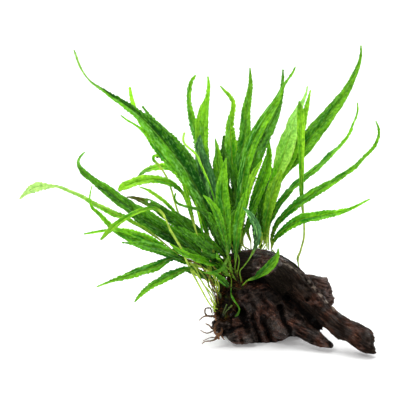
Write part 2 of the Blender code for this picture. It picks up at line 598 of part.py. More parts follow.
# ---- fern ----
def build_rhizomes(parts, cutters):
    for name, places in RHIZOMES.items():
        line = smooth_line([from_front(*place) for place in places], RHIZOME_STEPS)
        mesh = tube_mesh(name, line, RHIZOME_RADIUS * MM)
        material = plain_material(name, RHIZOME_COLOUR, RHIZOME_ROUGHNESS)
        made = add_object(name, mesh, parts, material)
        if name != "left_rhizome":
            continue
        for number, root in enumerate(ROOTS):
            route = smooth_line([from_front(*place) for place in root], ROOT_STEPS)
            strand = tube_mesh(f"root_{number}", route, ROOT_RADIUS * MM)
            boolean(made, as_helper(add_object(f"root_{number}", strand, cutters)), "UNION")


def frond_rings(line, half, turns):
    """Four-cornered cross sections: a round-backed stalk that widens into a folded blade."""
    bend = np.linalg.norm(np.diff(unit(np.diff(line, axis=0)), axis=0), axis=1)
    bend = np.concatenate([[0], bend, [0]])
    length = run_along(line)[-1]
    effort = np.cumsum(length / FINE_STATIONS + BEND_WEIGHT * bend)
    count = int(np.clip(FEWEST_SECTIONS - 2 + length / SECTION_STEP,
                        FEWEST_SECTIONS, MOST_SECTIONS))
    wanted = np.linspace(effort[0], effort[-1], count)
    picks = np.unique(np.round(np.interp(wanted, effort, np.arange(len(line)))).astype(int))
    places, sideways, facing = frond_frames(line, turns)
    rings = []
    for k in picks:
        thick = np.clip(half[k] / 2, THINNEST, 1.0) * BLADE_THICKNESS / 2
        thick = STIPE_RADIUS if half[k] <= STIPE_RADIUS and k < len(line) / 2 else thick
        rise = max(0.0, half[k] - STIPE_RADIUS) * 2 * BLADE_FOLD
        across = sideways[k] * half[k] * MM
        lift, rib = facing[k] * rise * MM, facing[k] * thick * MM
        rings.append([places[k] - across + lift, places[k] - rib,
                      places[k] + across + lift, places[k] + rib])
    return rings


def build_fronds(parts):
    names = list(FRONDS)
    halves = [half_widths(FRONDS[name]) for name in names]
    lines = settle([front_route(FRONDS[name]) for name in names], halves)
    for name, line, half in zip(names, lines, halves):
        colour, roughness = TONES[FRONDS[name][6]]
        mesh = loft(name, frond_rings(line, half, FRONDS[name][4]))
        add_object("frond_" + name, mesh, parts, plain_material(name, colour, roughness))


def main():
    clear_scene()
    parts = new_collection("java_fern_on_driftwood")
    cutters = new_collection("cutters")
    build_driftwood(parts, cutters)
    build_rhizomes(parts, cutters)
    build_fronds(parts)


main()
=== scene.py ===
"""Looks of a java fern grown on driftwood: fine fronds, wood, rhizomes, roots, camera and light.

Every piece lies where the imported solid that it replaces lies. Places seen from the front are in
millimetres as (right, up, back), counted from the trunk's lower front edge.
"""

import math

import bmesh
import bpy
import numpy as np
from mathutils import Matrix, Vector


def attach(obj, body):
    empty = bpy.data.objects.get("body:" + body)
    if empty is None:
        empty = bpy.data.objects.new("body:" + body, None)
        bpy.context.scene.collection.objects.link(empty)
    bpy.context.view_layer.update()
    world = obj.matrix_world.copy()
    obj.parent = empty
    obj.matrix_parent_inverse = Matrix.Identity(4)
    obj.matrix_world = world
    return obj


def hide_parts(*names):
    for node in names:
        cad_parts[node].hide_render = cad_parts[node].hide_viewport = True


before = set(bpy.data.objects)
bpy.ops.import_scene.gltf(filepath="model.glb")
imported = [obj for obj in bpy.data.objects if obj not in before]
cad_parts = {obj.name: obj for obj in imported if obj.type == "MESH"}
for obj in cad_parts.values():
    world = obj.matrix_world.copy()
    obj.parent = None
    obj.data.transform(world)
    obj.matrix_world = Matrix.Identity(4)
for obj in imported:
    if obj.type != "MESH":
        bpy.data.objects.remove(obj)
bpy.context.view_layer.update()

# ---- values repeated from the solids ----
MM = 0.001
SEAT_GAP = 0.3  # kept between solids that touch in the real plant
VIEW_DISTANCE = 1000.0  # the front view is taken from this far
VIEW_PITCH = 10.0  # and looks down by this much
VIEW_CENTRE = (-46.4, 0.0, 112.0)  # what it looks at
VIEW_CENTRE_UP = 114.4  # the height of that in the view
BLADE_LEAN = 32.0  # how far the face of a level blade leans up from the front view
SLOT_STEP = 2.3  # along a rhizome, from one frond's slot to the next
SLOT_REACH = 0.03  # share of a rhizome to either side of a slot that gives its direction there
SLOT_SIDE = 24.0  # neighbouring stalks leave this far to either side of their fronds' way
SOCKET_RISE = 4.0  # a stalk leaves its rhizome straight for this far
CROSSING_DEPTH = 2.3  # between two fronds that cross in the front view, and
CROSSING_SHARE = 0.30  # this share of the narrower one's half width on top
CROSSING_MARGIN = 0.3  # added to each half width when crossings are looked for
LEAST_WEIGHT = 0.01  # of a crossing at a stalk's foot, when it is told which frond is in front
FREE_RISE = 8.0  # a stalk's depth is free to change from its socket on, over this far
RHIZOME_RADIUS = 2.6  # of a rhizome's solid
LINE_STEPS = 40  # steps between two points of a smooth line before it is evened
FINE_STATIONS = 64  # places along a frond when its route is settled
FINE_RHIZOME = 60  # places along a rhizome when fronds are set on it
CROSSING_STEPS = 160  # how often crossings are moved apart
CROSSING_PACE = 0.7  # share of each such move that is made
EVENING_STEPS = 4  # how often each such move is evened out along its frond

# Each rhizome's middle line. Its fronds sit in slots at even steps from the first point on.
RHIZOMES = {
    "left_rhizome": [(-33, 24, -13), (-32, 34, -13), (-30, 44, -11), (-27, 54, -7), (-23, 62, -3)],
    "front_rhizome": [
        (-12, 43, -21), (-16, 50, -22), (-20, 58, -20), (-24, 66, -13), (-26, 73, -4), (-25, 78, 3)],
    "back_rhizome": [
        (-22, 70, 10), (-10, 73, 16), (2, 74, 19), (14, 71, 20), (27, 64, 20), (36, 56, 19)],
}

# Each limb's cross sections from its root out: middle (right, up, back), half height, half depth.
SLAB_AND_ARM = [
    ((-24, 59.6, 1), 4.5, 8), ((-21.6, 60, 1), 9.5, 13), ((-17.5, 61.6, 1), 11.5, 16),
    ((-6, 62, 1), 10.8, 19), ((10, 59, 0), 11.6, 22),
    ((26, 47.6, -3), 13.2, 18), ((37, 36.5, -8), 13.2, 14), ((48, 27, -14), 10, 12),
    ((58, 19.4, -20), 8.2, 11), ((69, 10.8, -27), 9.1, 11), ((79, 5, -33), 10.8, 11),
    ((86, -0.4, -39), 11.6, 10), ((90, -4.2, -42), 9.6, 8), ((93.2, -7.4, -44), 5.8, 5),
]
SHORT_PRONG = [
    ((16, 16, -6), 13, 12), ((27, 12, -12), 10, 11), ((36, 8, -17), 8, 9),
    ((45, 3.6, -21), 7.4, 8), ((53, -1, -25), 6, 6), ((59.4, -2.8, -28), 4.4, 4.5),
]
BACK_STUB = [
    ((24, 43, 8), 10, 9), ((36, 44, 15), 12, 10), ((46, 42, 20), 12, 9),
    ((53, 40.4, 23), 13, 8), ((59, 41.6, 24), 12.4, 6),
]
LEFT_SNAG = [
    ((-10, 13, -4), 13, 12), ((-19, 12, -7), 11, 11), ((-26, 12, -9), 8, 9),
    ((-31, 13.4, -10), 6.4, 7), ((-35, 15, -10), 4.4, 5), ((-37, 15.6, -10), 3, 3.6),
]
# The stump's cross sections from below the floor up: middle, half width, half depth.
STUMP = [
    ((4, -8, 22), 32, 22), ((4, 4, 21), 35, 25), ((3, 18, 18), 33, 25), ((2, 33, 13), 30, 23),
    ((2, 46, 9), 27, 21), ((5, 56, 5), 21, 17),
]
LIMBS = ["driftwood_long_arm", "driftwood_short_prong", "driftwood_back_stub", "driftwood_left_snag"]

# ---- the fronds ----
# Each frond's rhizome, slot, turns in degrees (lower, tip), depths (lower, middle, tip) and tone, then
# its middle line from the foot up, read off the photo: pixels from the left and the top, and width.
FRONDS = {
    "lowest": ("left_rhizome", 0, (10, 0), (-22, -38, -54), "light",
        [(214.6, 308, 1.9), (213.4, 303.4, 1.9), (210.6, 297, 1.8), (206.6, 289.5, 1.8),
         (201.6, 281, 1.8), (195.6, 273.5, 2), (190, 269, 3.2), (184, 269.6, 6), (176.3, 272.6, 7.8),
         (168.3, 276.2, 8.8), (160.3, 280.8, 7.8), (152.3, 285.2, 6.4), (145.3, 290.5, 5.2),
         (139.3, 296.2, 3.4), (134.8, 301.7, 1.2)]),
    "bent_over": ("left_rhizome", 1, (0, 0), (-24, -44, -60), "light",
        [(214.6, 309, 1.8), (211.6, 306.4, 1.8), (207.8, 301, 1.9), (203, 292.5, 2), (196.3, 280, 2.1),
         (189.6, 267.7, 2.2), (184, 255, 2.1), (179.4, 245, 2.2), (174, 236.4, 2.3), (169.4, 228, 2.2),
         (166, 220, 1.9), (162, 213, 2.4), (157, 209, 3), (150, 208.4, 3.7), (142, 210.2, 4.3),
         (134, 213.4, 4.6), (126, 217.8, 5.2), (118, 223.2, 5.6), (112, 228.2, 5.8), (106, 234, 4.1),
         (101, 239.5, 2.2)]),
    "lowest_but_one": ("left_rhizome", 2, (10, 0), (-22, -40, -56), "mid",
        [(215, 303, 1.6), (212.6, 296, 1.6), (208.8, 290.6, 1.7), (204.2, 285.4, 1.8), (199.6, 277, 1.8),
         (195, 267.7, 1.8), (188, 261, 2), (181, 257, 2.8), (173, 258.2, 4.4), (165, 261.2, 6.8),
         (157, 265.9, 9.2), (148, 269, 9.6), (139, 271.9, 8.8), (130, 275.2, 7.6), (121, 278.2, 5.2),
         (113, 280.5, 3.2), (105, 283.5, 2), (97, 286.7, 1)]),
    "broad_low_left": ("left_rhizome", 3, (10, 0), (-22, -38, -44), "dark",
        [(218, 300, 1.5), (217, 294, 1.5), (214.2, 286, 1.5), (209.6, 278.5, 1.5), (205, 272, 1.5),
         (201, 265.6, 1.6), (194, 262, 2), (186, 259.6, 3), (176, 256, 4.8), (167, 251.6, 6.8),
         (157, 248, 8.8), (147, 246, 9.4), (137, 244.2, 6), (128, 243, 2), (122.5, 242.6, 0.8)]),
    "far_left_trailing": ("left_rhizome", 4, (50, 10), (-14, -30, -44), "pale",
        [(212.6, 295, 1.7), (209.4, 286, 1.7), (204.6, 277, 1.7), (197, 268, 1.7), (185, 259.6, 1.8),
         (172, 250, 1.8), (161, 240.6, 2), (151, 233.2, 2.6), (142, 227, 3.2), (133, 222.2, 3.6),
         (124, 216.6, 4.4), (115, 214.2, 6.1), (105, 209, 5.3), (95, 204.2, 4.5), (85, 198.2, 3.9),
         (75, 193.4, 3.3), (65, 189.2, 3.2), (57, 186.4, 2.6), (51, 186.3, 4), (44, 186.2, 7),
         (37, 187.2, 9.4), (31.6, 189.4, 8.4), (26, 193, 4.6), (20, 198.6, 1.6)]),
    "curled_tail": ("left_rhizome", 5, (25, 10), (-14, -30, -46), "mid",
        [(216.6, 291, 1.7), (215.8, 283, 1.7), (213, 276, 1.7), (208, 271, 1.7), (200, 267, 1.8),
         (190, 263.6, 2.8), (178, 259, 4.8), (166, 253.4, 7), (156, 248.8, 9), (146, 245.8, 9.6),
         (137.2, 241, 9.4), (128.2, 237, 8), (119.2, 232, 7.2), (111.2, 226.4, 5.4), (104.2, 219.4, 4.4),
         (98.2, 212.9, 3.6), (92.5, 208, 2.8), (89.8, 201, 1.8), (90.3, 193, 1), (92, 186, 0.8)]),
    "ruffled_low_left": ("left_rhizome", 6, (20, 20), (-20, -34, -40), "mid",
        [(218.4, 291, 1.7), (219, 286, 1.7), (216.4, 279, 1.7), (210.4, 272, 1.7), (202, 267.6, 2),
         (192, 264.6, 3), (181, 260.6, 4.4), (171, 254, 6), (162, 248, 8), (153, 242.2, 9),
         (144, 237.4, 8.4), (135, 233.8, 6.4), (126, 231, 5), (117, 229.6, 3.4), (108, 230.2, 2.6),
         (100, 231.2, 2.4), (92, 232.6, 2), (84, 234, 1)]),
    "fiddlehead": ("left_rhizome", 7, (0, 0), (2, 14, 26), "dark",
        [(214, 288, 1.8), (206, 272, 1.8), (194, 248, 1.8), (184, 226, 1.8), (177, 209, 1.8),
         (174, 199, 1.8), (171.5, 190, 1.8), (168, 180, 1.8), (163, 171, 1.8), (156.4, 162.8, 2.6),
         (153.6, 159.6, 2.8), (153.8, 156.4, 2.8), (156.2, 155.6, 2.6), (157.6, 157.6, 2)]),
    "light_arching": ("left_rhizome", 8, (0, 0), (6, 20, 10), "light",
        [(213, 272, 1.8), (203, 250, 1.8), (195, 230, 2), (190, 212, 2.4), (186, 200, 2.6),
         (181, 191, 3.2), (176, 186.6, 4.8), (170, 182.8, 6.4), (163, 181, 7.2), (155, 179.4, 7.8),
         (145, 180, 8.8), (135, 182.3, 9.2), (128, 185, 9), (122, 187.5, 6.6), (119.3, 191, 3)]),
    "light_slim": ("left_rhizome", 9, (20, 0), (4, 12, 18), "light",
        [(214, 276, 1.8), (202, 258, 1.8), (192.4, 240, 2.6), (184, 225, 2), (176.6, 214.6, 2.8),
         (170.6, 207.4, 3.3), (164.4, 201.4, 3.4), (158, 196.6, 3.4), (151.6, 192.2, 3.3),
         (145, 188.8, 2), (139.5, 187, 1)]),
    "upper_arching": ("left_rhizome", 10, (10, 0), (8, 34, 56), "light",
        [(216, 264, 1.8), (210, 246, 2), (205, 228, 3), (200, 210, 4.2), (194, 194, 5), (187, 182, 5.6),
         (179, 173.4, 6), (171, 168.4, 6.6), (164, 166.6, 6.8), (157, 167.3, 6), (150, 169, 5.2),
         (144, 171.5, 3.6), (140, 175, 2.4), (137.5, 180, 1.2)]),
    "big_dark_left": ("left_rhizome", 11, (0, 0), (0, -22, -58), "dark",
        [(215, 286, 1.8), (209, 272, 2.6), (201, 260, 5.4), (192, 251.4, 9), (181, 244, 11.8),
         (171, 237, 13.2), (161, 230.4, 14.2), (151, 223.8, 14.8), (142.4, 217.6, 14.6),
         (134.4, 211.4, 13.4), (127, 205.4, 12), (120, 200.8, 11.4), (113, 195.2, 11), (106, 189.6, 10),
         (98.6, 184.4, 7.6), (91, 178.6, 7), (84.4, 173, 6.2), (79.7, 167.3, 4.2), (78.3, 162, 2.8),
         (80.5, 156.5, 2), (84.5, 152.3, 1.2)]),
    "holed_dark": ("left_rhizome", 12, (0, 0), (4, 4, 4), "dark",
        [(219, 276, 1.8), (214, 264, 3.6), (207, 252, 7.4), (199, 242.4, 10.4), (190, 233.4, 12.2),
         (181, 225.4, 12.2), (173, 219, 11.4), (165, 213.8, 10.2), (157, 207.6, 9), (149, 203, 8),
         (141, 200.2, 5), (134, 197.8, 3.2), (127.5, 197, 1.4)]),
    "tip_behind_holed": ("left_rhizome", 13, (0, 0), (8, 14, 20), "dark",
        [(220, 274, 1.8), (216, 261, 2.4), (210.6, 249.4, 5), (205, 240.4, 6.8), (199, 232.4, 6.8),
         (193, 225.4, 5.6), (187.6, 219.8, 3), (184, 216.6, 1)]),
    "light_left": ("left_rhizome", 14, (0, 0), (10, 12, 22), "light",
        [(216, 262, 1.8), (210, 243, 3), (205, 226, 5.2), (200.4, 209, 7.4), (193.4, 192, 9.2),
         (183, 177, 10.2), (172.4, 164, 11.4), (163, 152, 11.4), (154.4, 141, 10.6), (146.8, 129, 9.4),
         (140, 118, 7.4), (134, 107, 4.8), (131.5, 98, 3.8), (129.8, 87.5, 2.2)]),
    "left_tail": ("left_rhizome", 15, (0, 0), (0, -6, -12), "mid",
        [(219, 266, 1.8), (213, 250, 2.2), (206, 230, 3.6), (200, 212, 5), (194.6, 194, 6.4),
         (184, 178, 7.4), (170, 164, 8.6), (160.4, 152, 9), (152, 141, 7), (145, 132.5, 4.4),
         (138, 126.8, 2.2), (133, 123.5, 1.8), (127, 120, 1.7), (121, 115.5, 1)]),
    "over_wood": ("front_rhizome", 1, (0, 0), (-28, -33, -35), "light",
        [(240, 280, 1.5), (247, 280, 2), (253, 278.5, 3), (258.8, 275, 5.4), (263.2, 271.8, 7.8),
         (268, 268, 9.2), (272.4, 263.4, 9), (276, 258, 6), (278, 252.6, 2.8), (278.2, 248.8, 1)]),
    "bluish_bent": ("front_rhizome", 2, (0, 0), (-22, -34, -52), "dark",
        [(238, 273.8, 1.6), (244, 266, 1.6), (250, 257.6, 1.8), (254, 250, 3), (256.8, 241, 5.6),
         (257.4, 232, 7), (255.4, 224, 7), (251, 216.6, 6), (246.5, 211, 3), (243, 207.6, 1)]),
    "small_front_right": ("front_rhizome", 3, (0, 0), (-20, -36, -42), "light",
        [(235, 272, 1.6), (235.5, 262, 2), (236, 250, 4), (236.6, 238, 7), (237.6, 227, 8.6),
         (239.4, 216, 8.6), (241.6, 206, 7.4), (244.4, 197, 5), (247, 189, 1)]),
    "bright_front": ("front_rhizome", 4, (0, 0), (-24, -40, -46), "light",
        [(230, 272, 1.8), (229, 258, 3), (227.5, 245, 6), (226, 232, 9), (224.8, 219, 11.6),
         (223.4, 206, 13), (222.2, 195, 12.6), (222.4, 184, 10.6), (223.6, 173, 7), (225, 165, 3.6),
         (226, 158.5, 1)]),
    "ridged_right": ("front_rhizome", 5, (0, -15), (-22, -26, -20), "mid",
        [(236, 250, 2), (238, 230, 4.2), (239.5, 210, 6.4), (241, 192, 8.6), (243.5, 175, 10.4),
         (246.5, 160, 11.6), (250.4, 147, 12), (255.8, 135, 11.6), (261.8, 124, 10.6), (268, 114, 9.2),
         (274, 105, 7.4), (278.8, 96.6, 5.4), (282, 89, 3.6), (285.5, 82.8, 2.2), (289, 78, 1.8),
         (292.5, 73, 2), (295.3, 67, 1)]),
    "small_front_left": ("front_rhizome", 6, (0, 0), (-24, -42, -56), "light",
        [(229, 268, 1.6), (227.5, 254, 2.4), (225, 240, 4.4), (222, 228, 6.6), (218.6, 217.6, 7.6),
         (215, 209, 7), (210.8, 202.6, 4.8), (206.6, 198, 2.6), (203.4, 195.4, 1)]),
    "tip_low_center": ("front_rhizome", 7, (0, 0), (-21, -33, -38), "light",
        [(229, 264, 1.6), (225, 252, 3.4), (220.6, 240, 5.4), (216, 229.6, 5.4), (212, 221.6, 3.4),
         (209, 215.6, 1)]),
    "thin_bright": ("front_rhizome", 8, (0, 0), (-29, -39, -44), "light",
        [(228, 258, 1.6), (223, 236, 1.9), (218, 214, 1.9), (214, 198, 1.9), (210, 186, 1.9),
         (205.5, 175, 1.9), (201, 165, 1.9), (197, 155.8, 1.9), (192, 150.3, 1.9), (187, 146.3, 1.9),
         (183.6, 141.8, 1.9), (183.3, 137.3, 1.9), (184.5, 133, 1.2)]),
    "hanging_young": ("front_rhizome", 9, (0, 0), (-22, -26, -26), "light",
        [(231.4, 280, 1.4), (231.2, 287, 1.6), (231.4, 295, 1.6), (234.4, 300.8, 1.4), (238.6, 307, 1),
         (239.4, 309.4, 1), (238.4, 312.8, 1.8), (236.8, 315.2, 2), (235.4, 316.4, 1)]),
    "hooked": ("front_rhizome", 10, (0, 0), (-32, -46, -50), "light",
        [(231, 270, 0.8), (230, 262, 1.3), (228, 259, 2.1), (225.6, 263, 2.7), (222.6, 268, 3.1),
         (217.6, 271.8, 3.5), (211, 273, 2.7), (204, 272.4, 0.8)]),
    "stringy_dark": ("front_rhizome", 11, (0, 20), (-18, -28, -30), "dark",
        [(229, 262, 1.8), (226, 246, 3), (221, 232, 5), (214, 221, 6), (206, 213.6, 5.4),
         (198, 209.4, 3.6), (190, 207.4, 2.6), (183, 205.6, 2.2), (177.4, 203, 2), (174.6, 198.6, 1.8),
         (175.6, 193.6, 1)]),
    "pale_short": ("front_rhizome", 12, (0, 0), (-28, -40, -48), "light",
        [(230, 276, 1.6), (225.6, 270.6, 3), (221.6, 264.4, 4.6), (218.4, 258.6, 3.4),
         (216.6, 253.6, 1)]),
    "mid_front_left": ("front_rhizome", 13, (0, 0), (-27, -42, -56), "dark",
        [(227, 272, 2), (222, 264, 4.6), (216, 256.6, 7), (209, 250, 8.4), (201, 243.6, 8.2),
         (193, 237, 7), (185, 231, 4), (178.5, 226.5, 1)]),
    "tall_left": ("front_rhizome", 14, (0, 0), (-20, -34, -62), "dark",
        [(227, 262, 1.8), (222, 246, 3.4), (216, 229, 7), (208, 211, 11), (200, 195, 14.5),
         (190, 177, 17), (180, 162, 18.5), (170, 149, 18.5), (160, 137, 17), (150, 126, 14),
         (140, 116.4, 10.5), (130, 108.4, 8), (120, 101.4, 6.2), (110, 95, 4.8), (103, 90, 3.2),
         (97, 86.3, 2.6), (92, 82.8, 1.9), (87, 77.5, 1.3), (83, 72, 1.3), (79.8, 66, 2),
         (76.5, 57, 1.6), (74, 50, 1)]),
    "flat_front_left": ("front_rhizome", 15, (0, 0), (-22, -36, -44), "mid",
        [(227, 276, 2), (220, 269, 3.6), (213, 264, 5.4), (205, 261, 6.6), (196, 258.4, 6.6),
         (187, 255, 5.8), (178, 250, 4), (170, 244, 1)]),
    "wet_dark": ("front_rhizome", 16, (0, 0), (-6, -8, -6), "dark",
        [(226.6, 254, 2.6), (222, 236, 5.6), (218, 219, 9), (214, 203, 12), (210, 188, 13.6),
         (206.4, 174, 14.6), (202, 161, 12.8), (199.6, 150, 9.4), (199.5, 142, 6), (200.1, 135, 0.8)]),
    "upright_straight": ("front_rhizome", 17, (0, 0), (2, 2, 18), "light",
        [(225, 256, 1.8), (219, 236, 3.2), (214, 216, 5), (210, 196, 6.8), (207, 178, 8),
         (205, 162, 8.6), (204, 148, 9), (203.6, 136, 9.2), (203.8, 126, 9), (204.3, 117, 8.4),
         (205.3, 109, 7.2), (206.7, 101, 5.4), (208, 93, 4), (208.7, 85, 3), (208, 77, 1.4)]),
    "short_dark": ("front_rhizome", 0, (0, 0), (-25, -28, -31), "dark",
        [(230, 288, 1.6), (227, 284.6, 4.6), (223, 280.6, 6.6), (218.6, 276.8, 4.6), (213, 273.4, 1.2)]),
    "behind_tall": ("back_rhizome", 0, (0, 0), (14, 26, 44), "dark",
        [(223, 252, 1.8), (217, 231, 4.4), (210, 210, 7.6), (203.4, 190, 10.2), (195, 171.4, 11.6),
         (186, 157.4, 11.6), (176.4, 145.4, 10.6), (166.6, 135, 9), (158, 126, 6.8), (150, 117, 4.2),
         (146, 111, 2.4), (142.5, 106.5, 1.4)]),
    "upright_curl": ("back_rhizome", 1, (0, 0), (18, 30, 56), "light",
        [(228, 258, 1.8), (223, 242, 2.4), (218, 222, 4.2), (214, 204, 6), (210, 186, 7.8),
         (205.5, 170, 9.6), (202, 156, 10.4), (199, 145, 9.8), (197.3, 136, 9.4), (194.6, 128, 8.8),
         (192.4, 120, 7.6), (190.6, 112, 6.2), (189.2, 104, 5), (188.9, 95, 4.2), (189.9, 87, 4.2),
         (191.9, 80.5, 3.6), (195.4, 75.5, 1.8)]),
    "small_upright": ("back_rhizome", 2, (0, 0), (14, 6, 4), "mid",
        [(231, 246, 1.8), (228, 230, 3), (224, 212, 5.4), (221, 196, 7.4), (219, 182, 8.4),
         (218.4, 170, 11), (218, 161, 9.8), (217.8, 153, 5.4), (216.8, 146, 3.4), (215.3, 139, 1)]),
    "dark_behind_nodding": ("back_rhizome", 3, (0, 0), (27, 30, 42), "dark",
        [(232, 234, 2.4), (228.6, 218, 4.4), (226, 202, 5.4), (225.6, 190, 6), (226, 180, 8),
         (225, 168, 10), (224.4, 156, 9), (224.2, 145, 5.4), (224.2, 136, 2.4)]),
    "nodding": ("back_rhizome", 4, (0, 0), (16, 10, -6), "light",
        [(238, 246, 1.8), (236.6, 228, 1.8), (235.8, 207, 1.8), (235.2, 190, 2), (233.4, 174, 2.4),
         (232.2, 163, 3.8), (231.8, 157, 7), (231.4, 150, 10.8), (230.8, 143, 12.4), (230.2, 133, 9.8),
         (230, 124, 7.6), (231.6, 116.2, 5.8), (233.2, 108.2, 4.6), (232.7, 101.2, 4.2),
         (229.5, 95.9, 3.8), (225, 91.2, 2.8), (220.5, 86.2, 1)]),
    "spear": ("back_rhizome", 5, (0, 0), (26, 36, 58), "mid",
        [(241, 248, 1.8), (240, 232, 3.2), (239.5, 212, 5.6), (239.6, 197, 7.4), (239.4, 182, 9.8),
         (239.4, 170, 12.6), (240.8, 158, 14.4), (243, 146, 13), (245, 134, 11.2), (245.4, 124, 10.6),
         (245.6, 116, 9.6), (246.4, 108, 8.4), (248.2, 100, 7.2), (249.6, 92, 5.6), (250.5, 84, 4.4),
         (250.3, 76, 2.8), (250, 68, 1.2)]),
    "broad_right": ("back_rhizome", 6, (0, 0), (16, 6, 34), "dark",
        [(243, 248, 1.8), (242, 232, 3.6), (242.5, 214, 6.8), (244.5, 198, 9.6), (247.5, 182, 12),
         (251.5, 168, 13.6), (256, 155, 14.6), (260.5, 144, 14.6), (265.5, 134, 13.6), (270.5, 124, 12),
         (275, 114, 9.6), (278.5, 104, 7), (281, 95, 5), (282.3, 86, 3.8), (282.8, 78, 2.6),
         (283, 70, 1.2)]),
    "speckled_slim": ("back_rhizome", 7, (0, 0), (14, -2, -4), "light",
        [(243, 246, 1.8), (242, 226, 3), (243.8, 213, 3.8), (246, 203, 4.2), (247.8, 194, 4.6),
         (249.5, 186, 5.2), (251.8, 178.5, 5.6), (254.8, 172, 5.2), (258.5, 166, 3.8), (262, 160.5, 1)]),
    "slim_right": ("back_rhizome", 8, (0, 0), (22, 14, 24), "mid",
        [(251, 246, 1.8), (247.4, 230, 3.4), (251.5, 216, 6.4), (253.8, 204, 8.6), (257.4, 193, 10.4),
         (261.4, 183, 11.4), (265, 173, 11.2), (267.4, 164, 9.4), (268.8, 156, 6.4), (269, 148, 3.8),
         (269, 140.5, 1)]),
    "dark_short_right": ("back_rhizome", 9, (0, 0), (26, 34, 52), "dark",
        [(255, 247, 1.8), (254.4, 232, 4), (255, 219, 7), (257, 208, 9), (260.4, 198, 9.8),
         (264.5, 189, 9), (268.6, 181, 7), (271, 174, 4), (272, 168, 1)]),
    "light_broad_right": ("back_rhizome", 10, (0, 0), (22, 30, 46), "pale",
        [(260, 247, 1.8), (262, 232, 3), (264, 217, 5), (267, 203, 6.8), (271, 190, 8.2),
         (275, 179, 9.4), (278.5, 170, 11.6), (282, 160, 15.4), (285, 150, 17.4), (288.2, 140, 16),
         (292, 130, 13.4), (294, 120, 10.8), (298.6, 110, 7.4), (303.2, 100.5, 3.6), (306.2, 93, 2),
         (307.4, 86.5, 1.2)]),
    "bright_short_right": ("back_rhizome", 11, (0, 0), (16, 0, -8), "light",
        [(264, 248, 1.8), (264.6, 236, 3.4), (266, 222, 6.6), (268, 211, 9.8), (270.4, 201, 11.8),
         (273.2, 192, 11.8), (276.4, 183, 10), (279.4, 176, 6.4), (281.5, 170.5, 1.6)]),
    "behind_folded": ("back_rhizome", 12, (0, 0), (30, 38, 56), "pale",
        [(266.6, 244, 1.8), (266.6, 225, 3.6), (269.4, 208, 3.4), (275, 190, 5), (284, 172, 7),
         (292.6, 155, 8.6), (298, 140, 8.8), (302, 126, 8), (304.4, 115, 6.4), (307.2, 105, 4.4),
         (309, 97, 2.4), (310.4, 90.5, 1)]),
    "tall_right": ("back_rhizome", 13, (0, 0), (34, 44, 70), "mid",
        [(267, 247, 1.8), (265.4, 236, 3.2), (265.4, 222, 5), (267.4, 207, 7.4), (271.4, 193, 9.6),
         (275.6, 180, 12), (284, 168, 14), (294, 157, 15.6), (303.6, 147, 16.4), (311.2, 136.7, 16.8),
         (318.6, 127.7, 15.8), (325.4, 119.2, 14.4), (331.8, 110.7, 12.8), (338, 102.7, 11.2),
         (343.8, 95, 9), (348.8, 86.5, 7.2), (352.8, 78.5, 6), (356.5, 70, 4.8), (359.5, 62, 3.4),
         (360.9, 54, 2.4), (361, 45.5, 1)]),
    "bowed_right": ("back_rhizome", 14, (30, 30), (20, 14, 34), "mid",
        [(269, 247, 1.8), (268.6, 238, 1.8), (269.2, 229, 2), (270, 222, 3.4), (273.2, 214, 6.4),
         (278.2, 205.4, 6.4), (283.2, 198.8, 6.2), (289.2, 191.3, 6), (296.6, 183.8, 6.4),
         (305.2, 177.4, 6.2), (313.6, 170.6, 6), (321.8, 163.8, 5.8), (328.6, 156.8, 5.4),
         (335.2, 150.4, 4.6), (341.6, 144.4, 3.4), (346.2, 138.8, 3.2), (350, 132.3, 2.8),
         (352.8, 124.5, 2.2), (356, 117.5, 2), (357.7, 110, 1.8), (357.5, 103, 1)]),
    "hooked_right": ("back_rhizome", 15, (20, 10), (14, -12, -36), "mid",
        [(271.6, 246, 1.9), (273, 233, 4), (277.4, 223.4, 5.4), (282.7, 217.3, 6), (288.7, 210.9, 7.4),
         (295.8, 205.3, 9), (303.8, 199.9, 9.4), (312.3, 194.3, 9.2), (321.3, 188.9, 8.4),
         (330.3, 183.7, 7), (339.7, 177.7, 6), (348.1, 171.9, 4.8), (356.1, 165.7, 4.2),
         (362.4, 159, 3.8), (368.4, 153, 3.6), (373.6, 147.4, 3.2), (377, 141, 2.8), (379, 134, 2.4),
         (378.5, 128, 2), (376, 121.5, 1)]),
    "level_right": ("back_rhizome", 16, (0, 0), (8, -18, -52), "mid",
        [(271.6, 249, 1.9), (272.4, 244, 2.8), (276, 237.5, 4.4), (282, 231.4, 6.6), (288.6, 226.4, 8.2),
         (295.2, 222.2, 9.4), (302, 219, 10.2), (310, 217.4, 10), (320, 216, 9.2), (329.5, 214.2, 7.8),
         (338, 212.6, 6), (346, 210.4, 4.2), (355.6, 206.6, 2.8), (364, 202, 2), (370, 199, 1)]),
    "hanging_folded": ("back_rhizome", 26, (0, 0), (14, 2, -6), "light",
        [(297.4, 263, 2.2), (300.8, 250, 2.2), (303.8, 238, 2.2), (304.2, 227, 2.2), (303.4, 215, 2.2),
         (302, 203, 3), (301.4, 190, 4.2), (301.4, 175, 5), (301.4, 158, 5.4), (301.2, 147, 6.4),
         (301, 135, 7.4), (300.9, 124, 7.6), (300.5, 114, 7), (299.9, 107, 4.6), (299.2, 101.5, 1.6)]),
}
